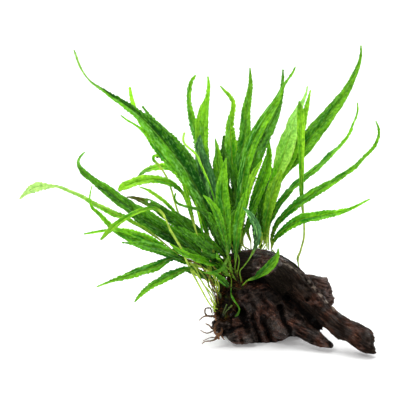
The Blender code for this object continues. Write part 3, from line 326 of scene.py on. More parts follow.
# Leaves that the solids leave out, in the same form.
MORE_FRONDS = {
    "split_leaf": ("front_rhizome", 3, (0, 0), (4, 8, 14), "light",
        [(217, 232, 2), (209, 200, 4), (203, 175, 5.4), (199.6, 150, 6), (198, 132, 5.6), (198, 122, 4),
         (199.2, 114, 2.8), (201, 107, 2.2), (204.4, 101, 1.4)]),
    "far_small": ("front_rhizome", 5, (0, 0), (8, 12, 18), "mid",
        [(242, 240, 2), (246.4, 226, 3.4), (251, 214, 4.6), (255.4, 203, 4.8), (259, 194, 3.6),
         (262.4, 187, 1.2)]),
    "pale_strip": ("left_rhizome", 12, (0, 0), (-8, -10, -8), "light",
        [(207, 262, 1.8), (200, 244, 1.8), (194.6, 226, 2.2), (191.6, 214.6, 3.4), (189.4, 206, 4.8),
         (187.2, 196, 5.4), (183.6, 183, 3.6), (179.4, 170.6, 1.4)]),
    "pale_stalk": ("left_rhizome", 13, (0, 0), (-8, -10, -8), "light",
        [(213, 266, 1.7), (208, 254, 1.8), (203.6, 238, 1.8), (200.6, 223, 1.9), (198, 212, 2),
         (195.4, 202, 1.2)]),
    "gap_leaf": ("left_rhizome", 7, (0, 0), (-12, -20, -24), "dark",
        [(207, 263, 3), (197.6, 251.4, 6), (186, 241.4, 8), (173, 231.6, 8), (160, 221.6, 6.6),
         (148, 212, 4), (138, 205, 1)]),
    "gap_stalk": ("front_rhizome", 6, (0, 0), (6, 10, 14), "dark",
        [(233, 254, 1.8), (235.6, 235, 1.6), (236.4, 215, 1.5), (236, 204, 1.6), (234.8, 196, 2.6),
         (234, 190, 4), (234, 184, 6.4), (233.6, 176, 8), (232.6, 168, 8.4), (231.6, 160, 6),
         (231.6, 152, 1.2)]),
    "side_tip": ("left_rhizome", 6, (0, 0), (-14, -26, -30), "dark",
        [(210, 267, 2.4), (201, 259, 4), (190, 252, 5), (182, 248, 1.4)]),
}


# ---- places ----
def from_front(places):
    """Places in the frame, in metres, of places given as seen from the front."""
    pitch = math.radians(VIEW_PITCH)
    right, up, back = np.moveaxis(np.asarray(places, float), -1, 0)
    spread = (VIEW_DISTANCE + back) / VIEW_DISTANCE
    sideways = (right - VIEW_CENTRE[0]) * spread
    upwards = (up - VIEW_CENTRE_UP) * spread
    return np.stack([
        VIEW_CENTRE[0] + sideways,
        VIEW_CENTRE[1] + upwards * math.sin(pitch) + back * math.cos(pitch),
        VIEW_CENTRE[2] + upwards * math.cos(pitch) - back * math.sin(pitch),
    ], axis=-1) * MM


def to_front(places):
    """The reverse of from_front: (right, up, back) of places in the frame."""
    pitch = math.radians(VIEW_PITCH)
    x, y, z = np.moveaxis(np.asarray(places) / MM - VIEW_CENTRE, -1, 0)
    back = y * math.cos(pitch) - z * math.sin(pitch)
    spread = (VIEW_DISTANCE + back) / VIEW_DISTANCE
    upwards = y * math.sin(pitch) + z * math.cos(pitch)
    return np.stack([VIEW_CENTRE[0] + x / spread, VIEW_CENTRE_UP + upwards / spread, back], axis=-1)


def run_along(points):
    """Length of the line through the points up to each of them."""
    steps = np.linalg.norm(np.diff(points, axis=0), axis=1)
    return np.concatenate([[0.0], np.cumsum(steps)])


def smooth_line(points, count):
    """Evenly spaced places on a smooth curve through the points."""
    points = np.asarray(points, float)
    run = run_along(points)
    slope = np.gradient(points, run, axis=0)
    fine = np.linspace(0, run[-1], LINE_STEPS * len(points))
    first = np.clip(np.searchsorted(run, fine, "right") - 1, 0, len(points) - 2)
    length = (run[first + 1] - run[first])[:, None]
    x = (fine - run[first])[:, None] / length
    line = (
        (1 + 2 * x) * (1 - x) ** 2 * points[first]
        + x * (1 - x) ** 2 * length * slope[first]
        + x**2 * (3 - 2 * x) * points[first + 1]
        + x**2 * (x - 1) * length * slope[first + 1]
    )
    return resample(line, np.linspace(0, 1, count))


def resample(line, shares):
    """The places at these shares of the line's length."""
    run = run_along(line)
    return np.column_stack([np.interp(shares * run[-1], run, axis) for axis in line.T])


def unit(vectors):
    return vectors / np.linalg.norm(vectors, axis=-1, keepdims=True)


def turned(sideways, facing, turns):
    """Two directions at right angles, turned in their plane by these angles."""
    cosine, sine = np.cos(turns)[:, None], np.sin(turns)[:, None]
    return sideways * cosine + facing * sine, facing * cosine - sideways * sine


# ---- frond routes ----
def socket(rhizome, slot, towards):
    """Where a stalk starts, just off the rhizome, and the direction in which it leaves."""
    line = smooth_line(from_front(RHIZOMES[rhizome]), FINE_RHIZOME)
    share = (slot + 0.5) * SLOT_STEP * MM / run_along(line)[-1]
    before, at, after = resample(line, share + np.array([-SLOT_REACH, 0, SLOT_REACH]))
    along = unit(after - before)
    way = towards - at
    way = unit(way - along * (along @ way))
    side = math.radians(SLOT_SIDE if slot % 2 else -SLOT_SIDE)
    out = way * math.cos(side) + np.cross(along, way) * math.sin(side)
    return at + out * (RHIZOME_RADIUS + SEAT_GAP) * MM, out


def close_pairs(places, owner, reach):
    """Pairs of stations of different fronds that are nearer than the sum of their reaches."""
    one, two = [], []
    for index in range(owner[-1]):
        mine = np.flatnonzero(owner == index)
        later = np.flatnonzero(owner > index)
        gap = np.linalg.norm(places[mine][:, None] - places[later][None], axis=2)
        close = np.argwhere(gap < reach[mine][:, None] + reach[later][None])
        one.append(mine[close[:, 0]])
        two.append(later[close[:, 1]])
    return np.concatenate(one), np.concatenate(two)


def evened(move, fronds):
    """The moves of the stations, evened out along each frond."""
    move = move.reshape(fronds, FINE_STATIONS, -1)
    for _ in range(EVENING_STEPS):
        padded = np.pad(move, ((0, 0), (1, 1), (0, 0)), mode="edge")
        move = (padded[:, :-2] + 2 * padded[:, 1:-1] + padded[:, 2:]) / 4
    return move.reshape(fronds * FINE_STATIONS, -1)


def settle_crossings(places, owner, half, from_foot):
    """Moves fronds that cross in the front view apart in depth, the front one forward."""
    fronds = owner[-1] + 1
    free = np.clip((from_foot - SOCKET_RISE) / FREE_RISE, 0, 1)
    one, two = close_pairs(places[:, :2], owner, half + CROSSING_MARGIN)
    need = CROSSING_DEPTH + CROSSING_SHARE * np.minimum(half[one], half[two])
    pair = owner[one] * fronds + owner[two]
    order = np.zeros(fronds**2)
    weight = np.minimum(free[one], free[two]) + LEAST_WEIGHT
    np.add.at(order, pair, weight * (places[two, 2] - places[one, 2]))
    sign = np.where(order[pair] >= 0, 1.0, -1.0)
    front, rear = np.where(sign > 0, one, two), np.where(sign > 0, two, one)
    for _ in range(CROSSING_STEPS):
        short = np.maximum(0, need - sign * (places[two, 2] - places[one, 2]))
        forward, backward = np.zeros(len(places)), np.zeros(len(places))
        np.maximum.at(forward, front, short / 2)
        np.maximum.at(backward, rear, short / 2)
        places[:, 2] += CROSSING_PACE * free * evened((backward - forward) * free, fronds)[:, 0]


def frond_frames(line, turns):
    """Places, sideways and facing directions along a frond in the frame."""
    places = from_front(line)
    tangent = unit(np.gradient(places, axis=0))
    pitch, lean = math.radians(VIEW_PITCH), math.radians(BLADE_LEAN)
    to_viewer = np.array([0, -math.cos(pitch), math.sin(pitch)])
    view_up = np.array([0, math.sin(pitch), math.cos(pitch)])
    facing = to_viewer * math.cos(lean) + view_up * math.sin(lean)
    sideways = unit(np.cross(tangent, facing))
    facing = np.cross(sideways, tangent)
    return places, *turned(sideways, facing, np.radians(np.linspace(*turns, len(line))))


# ---- the photo's pixels: millimetres to one, and the one at the trunk's lower front edge ----
PIXEL, ORIGIN = 0.8, (258, 343)

# ---- how fine the looks are: millimetres ----
STATION_STEP = 0.8  # along a fine frond
ACROSS = ((4.0, 9), (9.0, 13), (99.0, 19))  # points across a blade up to this wide
STALK_RADIUS = 0.66
LEAST_HALF = 0.36  # half the width of a frond's thinnest thread
TOOTH = 3.0  # length of one tooth of a margin
OUTSET = 0.12  # added to both sides of a blade
STALK_SLIM = 0.28  # taken off both sides of a stalk
LEAST_SHOWN = 0.6  # share of its width that a blade shows at least
SHEET = 0.24  # half the thickness of the blade beside its midrib
LEAF_HALF = 0.99  # half the width above which a frond is blade and no longer stalk
ALL_STALK = 0.3  # share of a frond that counts as stalk when it is nowhere that wide
TWIST = 9.0  # degrees that a blade twists to either side
RIB_SHARE = 0.26  # share of the places across half a blade that its midrib takes
FOOT_ARC = {"left_rhizome": 11, "front_rhizome": 18, "back_rhizome": 14}  # drawn as one arc at the foot
BLADE_UNIT = 0.1  # of the blade's own map, in centimetres
FIRST_SEED, INNER_SEED, SEED_STEP = 11, 400, 5
WOOD_DRAFT_GRID = 1.1  # size of the wood's faces when it is carved,
WOOD_GRID = 0.8  # and when it is weathered
LIMB_AROUND = 40  # places round a limb
LIMB_STEP = 2.0  # from one ring of a limb to the next
ARM, STUB = 0, 2  # the slab with its arm, and the back stub, among the limbs
ARM_FLUTES, FLUTES = 1.1, 1.9  # depth of the flutes of the slab and arm, and of the other limbs
STREAKS = (0.09, 0.9, 0.9)  # streaks of the wood's material to a millimetre, along and across
LEAST_SHARE = 1e-9  # added to how much a place belongs to a limb
RHIZOME_PLACES, RHIZOME_SIDES = 90, 20  # places along a rhizome and round it
MAT_PLACES, MAT_SIDES = 60, 40  # along the mat of old roots and round it
STRAND_PLACES = 26  # along a holdfast root or a shoot
STRAND_GUIDE = (0.3, 0.9, 0.2)  # a direction that no strand runs in
HAIR_SIDES = 4
HAIR_RADII = (0.16, 0.15, 0.12, 0.09, 0.04)  # of a rhizome's root hair, from its foot out
MAT_HAIR_RADII = (0.2, 0.19, 0.17, 0.14, 0.10, 0.05)
HAIR_FLOOR = 0.6  # hairs stay this far above the floor

# ---- colours, as they look in white light: red, green, blue from 0 to 255 ----
TINTS = {
    # tone: (deep, bright, midrib, stalk)
    "dark": ((10, 66, 0), (98, 172, 30), (74, 104, 20), (158, 182, 68)),
    "wet": ((6, 38, 14), (72, 132, 72), (60, 92, 40), (158, 182, 68)),
    "mid": ((26, 106, 0), (132, 204, 34), (104, 128, 24), (172, 196, 78)),
    "light": ((62, 146, 0), (172, 232, 56), (136, 158, 40), (186, 210, 92)),
    "pale": ((94, 172, 12), (196, 240, 108), (146, 158, 54), (194, 216, 104)),
}
# painted sheen: a pale colour mixed into the leaves where light would shine off them, and the greatest
# share of it
PAINTED_SHEEN, PAINTED_SHEEN_SHARE = (140, 210, 110), 0.6
SHADED_STALK = (104, 142, 42)  # painted shade: a darker stalk colour on the front rhizome and inside the tuft
OLD_STALK = (112, 84, 30)  # brown stretches of a stalk
# The first is near black: painted shade in the wood's hollows and furrows, and the dark of its grain.
WOOD_SHADE_AND_DARK_GRAIN, WOOD_BROWN, WOOD_RED = (7, 5, 4), (52, 40, 32), (84, 46, 29)
# The last is a pale painted highlight along edges and on the grain.
WOOD_DUSTY, WOOD_SLAB, WOOD_PAINTED_HIGHLIGHT = (108, 96, 92), (21, 18, 12), (142, 134, 122)
ARM_CALM, ARM_SHARE = 0.5, 0.40  # how much more even slab and arm are, and their share of brown
STUMP_SWEEP = 100.0  # the stump's grain leans more to the left the higher it runs
ROOT_DARK, ROOT_LIGHT = (38, 22, 12), (122, 78, 38)
RHIZOME_GREEN, RHIZOME_BROWN = (34, 40, 10), (16, 11, 7)
MAT_DARK, MAT_GREEN = (9, 7, 4), (62, 74, 14)
SHOOT_DARK, SHOOT_LIGHT = (34, 42, 8), (74, 96, 18)

# ---- the look of single fronds ----
# tone: of its colours, if not the one that its slot has. light: how much lighter than the tone's its
# colours are. right: how much lighter the half is that lies to the right, painted light on that half.
# sheen: how much of the blade is painted with a pale sheen. tip: colour of the tip, if not its tone's,
# over tip_reach of the blade. stalk: its colour, if not its tone's. fold: how far the halves stand up.
# ruffle: height of the margin's waves in half widths. teeth and beads: how deep the margin's teeth and
# the tip's beads are.
PLAIN_LOOK = {"tone": None, "light": 1.0, "right": 0.12, "sheen": 0.5, "tip": None, "tip_reach": 0.45,
              "stalk": None, "fold": 0.18, "ruffle": 0.24, "teeth": 1.0, "beads": 1.0}
LOOKS = {
    "lowest": {"tone": "mid", "ruffle": 0.40, "teeth": 1.3},
    "bent_over": {"tip": (120, 178, 40), "fold": 0.5, "ruffle": 0.1, "teeth": 0.15, "beads": 0},
    "lowest_but_one": {"ruffle": 0.34, "teeth": 1.3},
    "broad_low_left": {"light": 1.3, "stalk": (104, 84, 34)},
    "far_left_trailing": {"light": 1.08, "tip": (180, 218, 136), "tip_reach": 0.7,
                          "stalk": (146, 164, 66)},
    "curled_tail": {"light": 1.25},
    "ruffled_low_left": {"light": 1.3, "ruffle": 0.45, "teeth": 1.3},
    "fiddlehead": {"tone": "light", "light": 1.2, "tip": (46, 66, 14), "tip_reach": 0.16, "teeth": 0,
                   "beads": 0},
    "light_arching": {"sheen": 0.2, "fold": 0.30},
    "light_slim": {"tip": (168, 224, 60), "teeth": 0.9},
    "upper_arching": {"tone": "light", "light": 1.25, "tip": (60, 118, 66), "tip_reach": 0.2,
                      "fold": 0.34},
    "big_dark_left": {"light": 1.1, "sheen": 0.35, "tip": (116, 182, 72), "tip_reach": 0.16,
                      "ruffle": 0.12, "teeth": 0.6},
    "holed_dark": {"light": 0.85, "sheen": 0.1, "tip": (84, 82, 20), "tip_reach": 0.22, "teeth": 0.4},
    "tip_behind_holed": {"light": 0.7, "sheen": 0.2},
    "light_left": {"light": 1.35, "tip": (150, 222, 50)},
    "left_tail": {"light": 1.4, "fold": 0.3},
    "over_wood": {"tone": "mid", "light": 0.7, "sheen": 0.2, "ruffle": 0.4, "teeth": 0.5},
    "bluish_bent": {"tone": "wet", "light": 1.7, "sheen": 1.3},
    "small_front_right": {"tone": "mid"},
    "bright_front": {"tone": "mid", "sheen": 0.3, "ruffle": 0.12, "teeth": 0.35},
    "ridged_right": {"sheen": 1.1, "fold": 0.34, "teeth": 0.4},
    "small_front_left": {"tone": "mid", "sheen": 0.3},
    "tip_low_center": {"tone": "dark"},
    "thin_bright": {"tone": "light", "light": 1.15, "tip": (166, 222, 84), "ruffle": 0.1, "teeth": 0.3},
    "hanging_young": {"tone": "mid", "light": 0.8, "tip": (52, 88, 18), "tip_reach": 0.4, "teeth": 0,
                      "beads": 0},
    "hooked": {"tone": "mid", "light": 0.75, "fold": 0.5, "teeth": 0.3, "beads": 0},
    "stringy_dark": {"tone": "dark", "light": 0.9, "teeth": 0.8},
    "pale_short": {"tone": "mid"},
    "mid_front_left": {"tone": "dark", "light": 0.85, "sheen": 0.3},
    "tall_left": {"light": 1.25, "right": -0.3, "sheen": 0.9, "tip": (140, 190, 92), "tip_reach": 0.24,
                  "ruffle": 0.16},
    "wet_dark": {"tone": "wet", "sheen": 1.0, "teeth": 0.5},
    "upright_straight": {"tone": "mid", "tip": (140, 216, 34), "ruffle": 0.1},
    "short_dark": {"stalk": (34, 34, 12)},
    "behind_tall": {"light": 0.9, "sheen": 0.8, "teeth": 1.2},
    "upright_curl": {"tone": "mid", "sheen": 1.3, "ruffle": 0.4, "teeth": 1.4},
    "dark_behind_nodding": {"light": 0.6},
    "nodding": {"sheen": 1.3, "stalk": (50, 100, 20), "teeth": 1.2},
    "spear": {"light": 0.85, "ruffle": 0.16},
    "broad_right": {"light": 0.98, "right": 0.04, "sheen": 0.35},
    "slim_right": {"light": 1.35},
    "dark_short_right": {"light": 0.62},
    "light_broad_right": {"light": 1.15, "right": 0.08, "sheen": 0.2, "tip": (162, 220, 116),
                          "tip_reach": 0.62, "ruffle": 0.12, "teeth": 0.4},
    "bright_short_right": {"light": 0.72},
    "behind_folded": {"tone": "light"},
    "tall_right": {"light": 0.86, "ruffle": 0.14, "teeth": 0.5},
    "bowed_right": {"light": 1.25, "teeth": 0.7},
    "hooked_right": {"light": 1.1, "ruffle": 0.4, "teeth": 1.1},
    "level_right": {"light": 1.4},
    "hanging_folded": {"light": 1.06, "sheen": 0.2, "tip": (92, 150, 36), "tip_reach": 0.22,
                       "stalk": (186, 208, 104), "fold": 0.34, "ruffle": 0.08, "teeth": 0.1, "beads": 0},
    "split_leaf": {"sheen": 0.2},
    "pale_stalk": {"stalk": (176, 172, 84)},
}
HOLED_FROND, HOLE_PLACE, HOLE_RADIUS = "holed_dark", (-87.2, 113.2), 1.1

# ---- the wood's own forms, as (right, up) from the front ----
# Furrows and ridges: route, half width, and how far the surface stands back (under 0) or forward.
STROKES = [
    # under the slab and the arm
    ([(-20, 49.6), (-13.6, 49.6), (-6.4, 50.4), (3.7, 51), (15.2, 44), (24.8, 37.1)], 2.3, -7.0),
    ([(24.8, 37.1), (30.4, 32.3), (40, 24.8), (43, 18), (49.6, 12.2)], 3.2, -8.0),
    ([(8, 46), (18, 38), (27, 30)], 3.0, -3.0),
    ([(-20, 53), (-6, 53.6), (6, 54.4), (16, 48.4), (30, 40.4), (40, 33)], 1.6, 2.2),
    # folds of the body, from left to right
    ([(-18.4, 46.4), (-16, 36), (-9.6, 28), (-5.6, 23.2), (-5.6, 14)], 1.7, 2.4),
    ([(-13.5, 26), (-10.4, 19.2), (-9, 12.5)], 3.2, -8.0),
    ([(-4, 25), (-4.8, 18.4), (-3.2, 12), (0, 5.6), (2.4, 0)], 1.3, -4.5),
    ([(0, 24), (1.6, 13.6), (5.6, 3)], 2.0, 2.6),
    ([(3, 20), (7.2, 10.4), (8.8, 4.8), (11.2, 0)], 1.5, -5.0),
    ([(12, 23), (16.8, 13.6), (22, 8)], 3.6, 4.5),
    ([(18, 29), (19.2, 21.6), (20.8, 16.8), (24.8, 11.2), (26.4, 4)], 1.6, -7.5),
    ([(-2, 42), (6, 33), (10, 26)], 1.2, -1.8),
    ([(5, 42), (14, 33), (17, 27)], 1.3, -2.2),
    ([(-12, 41), (-6, 34), (-1, 29)], 1.3, -1.6),
    ([(-8, 44), (0, 36), (4, 30)], 1.8, 1.5),
    # lobe and snag at the lower left
    ([(-23.2, 3), (-16, 8.8), (-8, 11.2)], 2.3, 2.6),
    ([(-14.4, 8), (-12, 0)], 1.0, -2.6),
    ([(-7, 9), (-2.4, 0)], 1.2, -3.0),
    ([(-31, 9), (-24, 8.6), (-17, 12), (-13, 13.5)], 1.3, -4.5),
    ([(-27, 18), (-25, 11)], 1.0, -2.2),
    ([(-22, 20), (-21, 12)], 1.1, -2.6),
    # prong
    ([(22.4, 25.6), (33.6, 17.6), (43.2, 12), (51.2, 7.2)], 2.2, 2.2),
    ([(28, 13), (36, 7), (44, 2.6)], 1.1, -2.2),
    ([(30, 22), (36, 18)], 0.8, -2.5),
    # arm: the slot inside its upper edge, and long grooves
    ([(34.4, 54.4), (44, 45.8), (52.6, 35.2), (62.2, 23.7)], 0.9, -3.4),
    ([(38, 36), (50, 25), (64, 14), (80, 4)], 0.9, -1.5),
    ([(44, 27), (58, 15), (72, 5)], 0.8, -1.3),
    ([(62, 21), (76, 13), (89, 3)], 0.8, -1.2),
    ([(20, 52), (30, 44), (42, 34)], 0.9, -1.4),
    ([(33.6, 41), (48, 29), (62, 18), (80, 8)], 2.2, 1.3),
]
# Pits: place, radius and depth.
PITS = [
    ((5, 28), 1.3, 3.2), ((-0.5, 19.5), 1.1, 3.0), ((26.5, 22.4), 1.2, 3.0), ((8, 7), 1.8, 3.0),
    ((47.8, 34.6), 1.7, 3.6), ((39.4, 34.6), 1.7, 4.5), ((38.4, 46), 1.2, 3.0), ((18.2, 52), 1.4, 3.2),
    ((14.5, 57), 1.2, 2.4), ((5.8, 42), 1.0, 2.2), ((42, 42), 1.1, 2.4), ((33, 15.5), 0.9, 2.4),
    ((55.6, 39.4), 1.6, 4.0), ((60, 44), 1.0, 2.5), ((12, 20), 0.9, 2.0), ((-14, 4), 0.9, 2.0),
]
# Broken edges: place (right, up, back), radius, and how far the wood is moved (right, up, back).
NICKS = [
    ((95, -1.0, -42), 4.6, (-6.0, 1.0, 0)), ((95, -6, -42), 4.0, (2.5, -2.5, 0)),
    ((93, 5, -42), 4.0, (-2.0, 0.5, 0)), ((57.5, 50, 23), 3.0, (-4.0, -1.0, 0)),
    ((62, 46, 24), 2.4, (-2.4, 0.6, 0)), ((61, 37, 24), 2.6, (1.5, -0.8, 0)),
    ((58.5, -1.0, -28), 2.6, (-3.0, 1.2, 0)),
]
# More wood, as sections of (middle, half height, half depth): the web between arm and prong, the
# lobe at the lower left, the rim under the back rhizome, and the knee beside the prong.
LOBES = [
    [((18, 36, -3), 8, 9), ((28, 30, -7), 8, 9), ((38, 21, -11), 7.4, 9), ((44, 16.6, -14), 6, 8),
     ((48, 13.2, -16), 4.2, 5), ((51.4, 11.4, -18), 2.8, 4)],
    [((-4, 8, -8), 9, 12), ((-14, 5, -11), 6, 9), ((-21, 3, -13), 4.5, 6), ((-25, 3.5, -13), 2.5, 3)],
    [((-20, 68, 8), 4, 8), ((-8, 70.6, 12), 4, 9), ((4, 71, 15), 4, 9), ((16, 66, 15), 4, 9),
     ((27, 58, 14), 4, 8), ((34, 52.6, 12), 3, 6)],
    [((12, 22, -6), 5, 8), ((17, 13, -9), 7, 10), ((22, 8, -9), 6, 8), ((25, 5.6, -9), 3.6, 5)],
]
# The wood's lower edge, as (right, up) from the front.
UNDERSIDE = [
    (-60, 4), (-36, 4), (-30, 4), (-26, 6), (-24, 3), (-20, -0.5), (-13, -1.5), (-4, 0), (2, 0.2), (12, 0),
    (20, 2), (25, 5.2), (31, 5.4), (36, 2.6), (42, -0.8), (50, -3.4), (58, -4), (61, -4), (65, 3),
    (71, 1.2), (76, -2.6), (81, -6), (86, -8.4), (94, -9), (110, -9),
]
SHRINK = 1.5  # the weathered surface stands this far inside the limbs' sections on the whole
# Painted highlights, silvery pale along upper edges: route from the front, and half width.
PAINTED_RIM_HIGHLIGHTS = [
    ([(14, 67), (24, 62.5), (34, 56), (44, 46.5), (54, 36), (62, 25.5)], 1.1),
    ([(41, 49), (49, 39), (57, 30)], 0.7), ([(-8, 60), (4, 60.5), (16, 57)], 0.6),
]
FRONT_ONLY = 8.0  # strokes and pits reach the wood up to this far back

# ---- holdfast roots and shoots: places (right, up, back), and the radius at each end ----
ROOT_STRANDS = [
    # the curled root and the dark one under it
    ([(-33, 22.5, -14), (-37, 21.4, -13), (-41, 22, -11), (-42.6, 25, -10), (-41.4, 27.8, -9),
      (-39, 28.2, -8), (-37.2, 26.2, -8), (-37.2, 24, -8)], .8, .55),
    ([(-31, 20, -14), (-36, 21.4, -15), (-40, 21.6, -14), (-43.6, 21, -14), (-47.4, 17.8, -14)], 1.3, .3),
    # roots below it
    ([(-32, 12, -14), (-36.4, 11.4, -15), (-39, 14, -15), (-42, 15.6, -16)], 1.0, .4),
    ([(-32, 12, -14), (-36, 9.6, -16), (-40, 8, -17), (-43, 8.4, -18), (-46.2, 10.6, -18)], .7, .25),
    ([(-31, 18, -13), (-34.6, 12.4, -16), (-34.2, 8, -17), (-31.4, 6, -18), (-32, 3, -19)], 1.3, .9),
    ([(-29, 12, -14), (-29.6, 8, -17), (-33, 5.4, -18), (-34, 3.6, -19)], 1.4, .8),
    ([(-31, 6, -17), (-34, 3, -20), (-38, 1.6, -21), (-43, 1, -21), (-45, -1, -22)], .9, .3),
    ([(-34, 4, -18), (-37.4, 4.4, -20), (-42, 2.6, -22), (-44.4, 1.6, -23)], .5, .2),
    ([(-30, 7, -16), (-28, 4, -19), (-26.8, 2.4, -20)], .8, .35),
    # between the stalks
    ([(-32, 26, -13), (-34.4, 24, -16), (-34, 20.6, -18), (-33.8, 18, -19)], .8, .5),
    ([(-31, 30, -13), (-35, 30.6, -15), (-36.8, 33, -14), (-39, 36, -13)], .5, .25),
    ([(-30, 34, -13), (-33, 36, -16), (-35, 40, -16), (-37, 46, -15), (-38.8, 51.6, -14)], .5, .4),
    ([(-30, 41, -12), (-33, 41.6, -14), (-35.6, 45, -15), (-40, 54, -14), (-44, 61, -13)], .5, .35),
]
SHOOTS = [
    ([(-28.4, 22.6, -18), (-26.6, 27, -20), (-25, 31, -21)], .3, .6),
    ([(-28, 21.6, -18), (-25, 26, -20), (-22, 29, -21), (-20.6, 30.4, -21)], .3, .7),
    ([(-30, 36, -16), (-30, 38.6, -18), (-32, 41, -18)], 1.0, .6),
]
# Leaves inside the tuft: rhizome, share along it, lean to the right in degrees, length, width, tone.
INNER = [
    ("left_rhizome", 0.90, -38, 62, 8, "dark"), ("left_rhizome", 0.72, -52, 55, 7, "mid"),
    ("left_rhizome", 0.55, -60, 36, 6, "dark"), ("left_rhizome", 0.98, -20, 70, 9, "dark"),
    ("front_rhizome", 0.95, -30, 66, 9, "dark"), ("front_rhizome", 0.85, -8, 72, 9, "dark"),
    ("front_rhizome", 0.70, 8, 42, 7, "mid"), ("front_rhizome", 0.60, -44, 40, 6, "mid"),
    ("front_rhizome", 0.99, 16, 60, 8, "dark"), ("back_rhizome", 0.04, -9, 74, 9, "dark"),
    ("back_rhizome", 0.12, -14, 66, 8, "mid"), ("back_rhizome", 0.13, -6, 60, 8, "dark"),
    ("back_rhizome", 0.40, 0, 48, 7, "dark"),
    ("left_rhizome", 0.86, -70, 34, 6, "dark"), ("front_rhizome", 0.45, -62, 30, 6, "dark"),
]
INNER_SHADED_LIGHT = 0.7  # light, in their looks: dimmed as painted shade inside the tuft
INNER_DEPTH = 5.0  # they start this far behind the rhizome's middle line
INNER_BEND = 10.0  # degrees that they bend to either side in turn
INNER_TURN, INNER_TIP_TURN = 12, 20  # degrees that they turn, the lower part to either side in turn
# Each rhizome's radius under its root hairs, and how many those are.
FINE_RHIZOME_RADIUS = {"left_rhizome": 2.0, "front_rhizome": 0.9, "back_rhizome": 1.2}
HAIRS = {"left_rhizome": 420, "front_rhizome": 260, "back_rhizome": 60}
HAIR_SEED = 100
# The dark mat round the left rhizome: middle (right, up, back) and radius.
ROOT_MAT = [
    ((-30, 18, -8), 4.5), ((-28, 27, -8), 6.4), ((-25, 36, -7), 7.0), ((-22, 44, -5), 5.0),
    ((-20, 52, -3), 3.6), ((-17, 60, 0), 3.0),
]
MAT_HAIRS, MAT_SEED = 900, 9

# ---- the picture: metres, watts, and the camera's millimetres ----
FLOOR_REACH, FLOOR_HALF = 2.0, 3.0  # the floor in front of the plant, and half its width
FLOOR_BACK, FLOOR_BEND, FLOOR_TOP = 0.9, 0.6, 3.0  # where it starts to curve up, its curve and its top
WORLD_LIGHT = 0.42
AIM = (-0.03, 0.0, 0.10)  # the middle of the plant
LIGHTS = [  # name, place, what it points at, size and power
    ("overhead", (0.1, 0.55, 1.7), (0.0, 0.45, 0.0), 2.2, 40.0),
    ("key", (-0.6, -0.8, 1.0), AIM, 0.5, 7.0),
    ("right", (0.9, -0.4, 0.5), AIM, 0.4, 1.5),
    ("front", (0.0, -1.3, 0.25), AIM, 0.9, 1.2),
]
SENSOR_WIDTH, LENS = 36.0, 112.5


# ---- noise and colour ----
SHUFFLE = np.random.default_rng(5).permutation(256)
SLOPES = unit(np.random.default_rng(6).normal(size=(256, 3)))


def lattice_noise(places, seed):
    """Smooth noise from about -1 to 1 at these places, with one unit to a cell."""
    cell = np.floor(places).astype(np.int64)
    inside = places - cell
    fade = inside**3 * (inside * (inside * 6 - 15) + 10)
    total = np.zeros(len(places))
    for corner in np.ndindex(2, 2, 2):
        index = np.full(len(places), seed)
        for axis in range(3):
            index = SHUFFLE[(index + cell[:, axis] + corner[axis]) & 255]
        weight = np.prod(np.where(corner, fade, 1 - fade), axis=1)
        total += weight * np.einsum("ij,ij->i", SLOPES[index], inside - corner)
    return 1.6 * total


def noise(first, second=0.0, third=0.0, seed=0, octaves=1):
    """Noise over one to three coordinates, as arrays of like shape or plain numbers."""
    axes = np.broadcast_arrays(first, second, third)
    places = np.stack([np.ravel(axis) for axis in axes], axis=1).astype(float)
    total = sum(lattice_noise(places * 2**k, seed + 31 * k) / 2**k for k in range(octaves))
    return total.reshape(axes[0].shape)


def body_noise(places, size, seed, octaves=1):
    """Noise in lumps of this size in mm all over a body."""
    return noise(*(places / MM / size).T, seed=seed, octaves=octaves)


def grain_noise(grain, length, width, seed):
    """Noise in streaks of this length and width in mm, over (along, across, across) a grain."""
    return noise(*(grain / (length, width, width)).T, seed=seed)


def rgb(colour):
    """Linear red, green and blue of a colour from 0 to 255."""
    share = np.asarray(colour, float) / 255
    return np.where(share <= 0.04045, share / 12.92, ((share + 0.055) / 1.055) ** 2.4)


def mixed(one, two, share):
    """A colour between two, or one for each share."""
    share = np.clip(share, 0, 1)[..., None]
    return one * (1 - share) + two * share


def smooth_step(value, low, high):
    """0 up to low, 1 from high on, and a smooth rise between them."""
    x = np.clip((value - low) / (high - low), 0, 1)
    return x * x * (3 - 2 * x)


# ---- materials ----
def set_inputs(tree, node, inputs):
    """Sets a node's inputs. Each is a number, a colour, or the output socket that feeds it."""
    for key, value in inputs.items():
        if isinstance(value, bpy.types.NodeSocket):
            tree.links.new(value, node.inputs[key])
        else:
            node.inputs[key].default_value = value


def add_node(tree, kind, inputs=None, **settings):
    """A shader node with these settings and inputs."""
    made = tree.nodes.new("ShaderNode" + kind)
    for key, value in settings.items():
        setattr(made, key, value)
    set_inputs(tree, made, inputs or {})
    return made


def add_attribute(tree, name, output="Color"):
    return add_node(tree, "Attribute", attribute_name=name).outputs[output]


def add_noise(tree, place, scale, detail, roughness=0.5, output="Fac"):
    inputs = {"Vector": place, "Scale": scale, "Detail": detail, "Roughness": roughness}
    return add_node(tree, "TexNoise", inputs).outputs[output]


def add_stretch(tree, place, across, along):
    return add_node(tree, "Mapping", {"Vector": place, "Scale": (across, along, 1.0)}).outputs[0]


def add_mix(tree, factor, one, two, blend="MIX"):
    """Two colours mixed, as an output socket."""
    made = add_node(tree, "Mix", {0: factor, 6: one, 7: two}, data_type="RGBA", blend_type=blend)
    return made.outputs[2]


def toned(tree, tint, red, green, blue):
    """The tint with its red, green and blue multiplied, as an output socket."""
    return add_mix(tree, 1.0, tint, (red, green, blue, 1), "MULTIPLY")


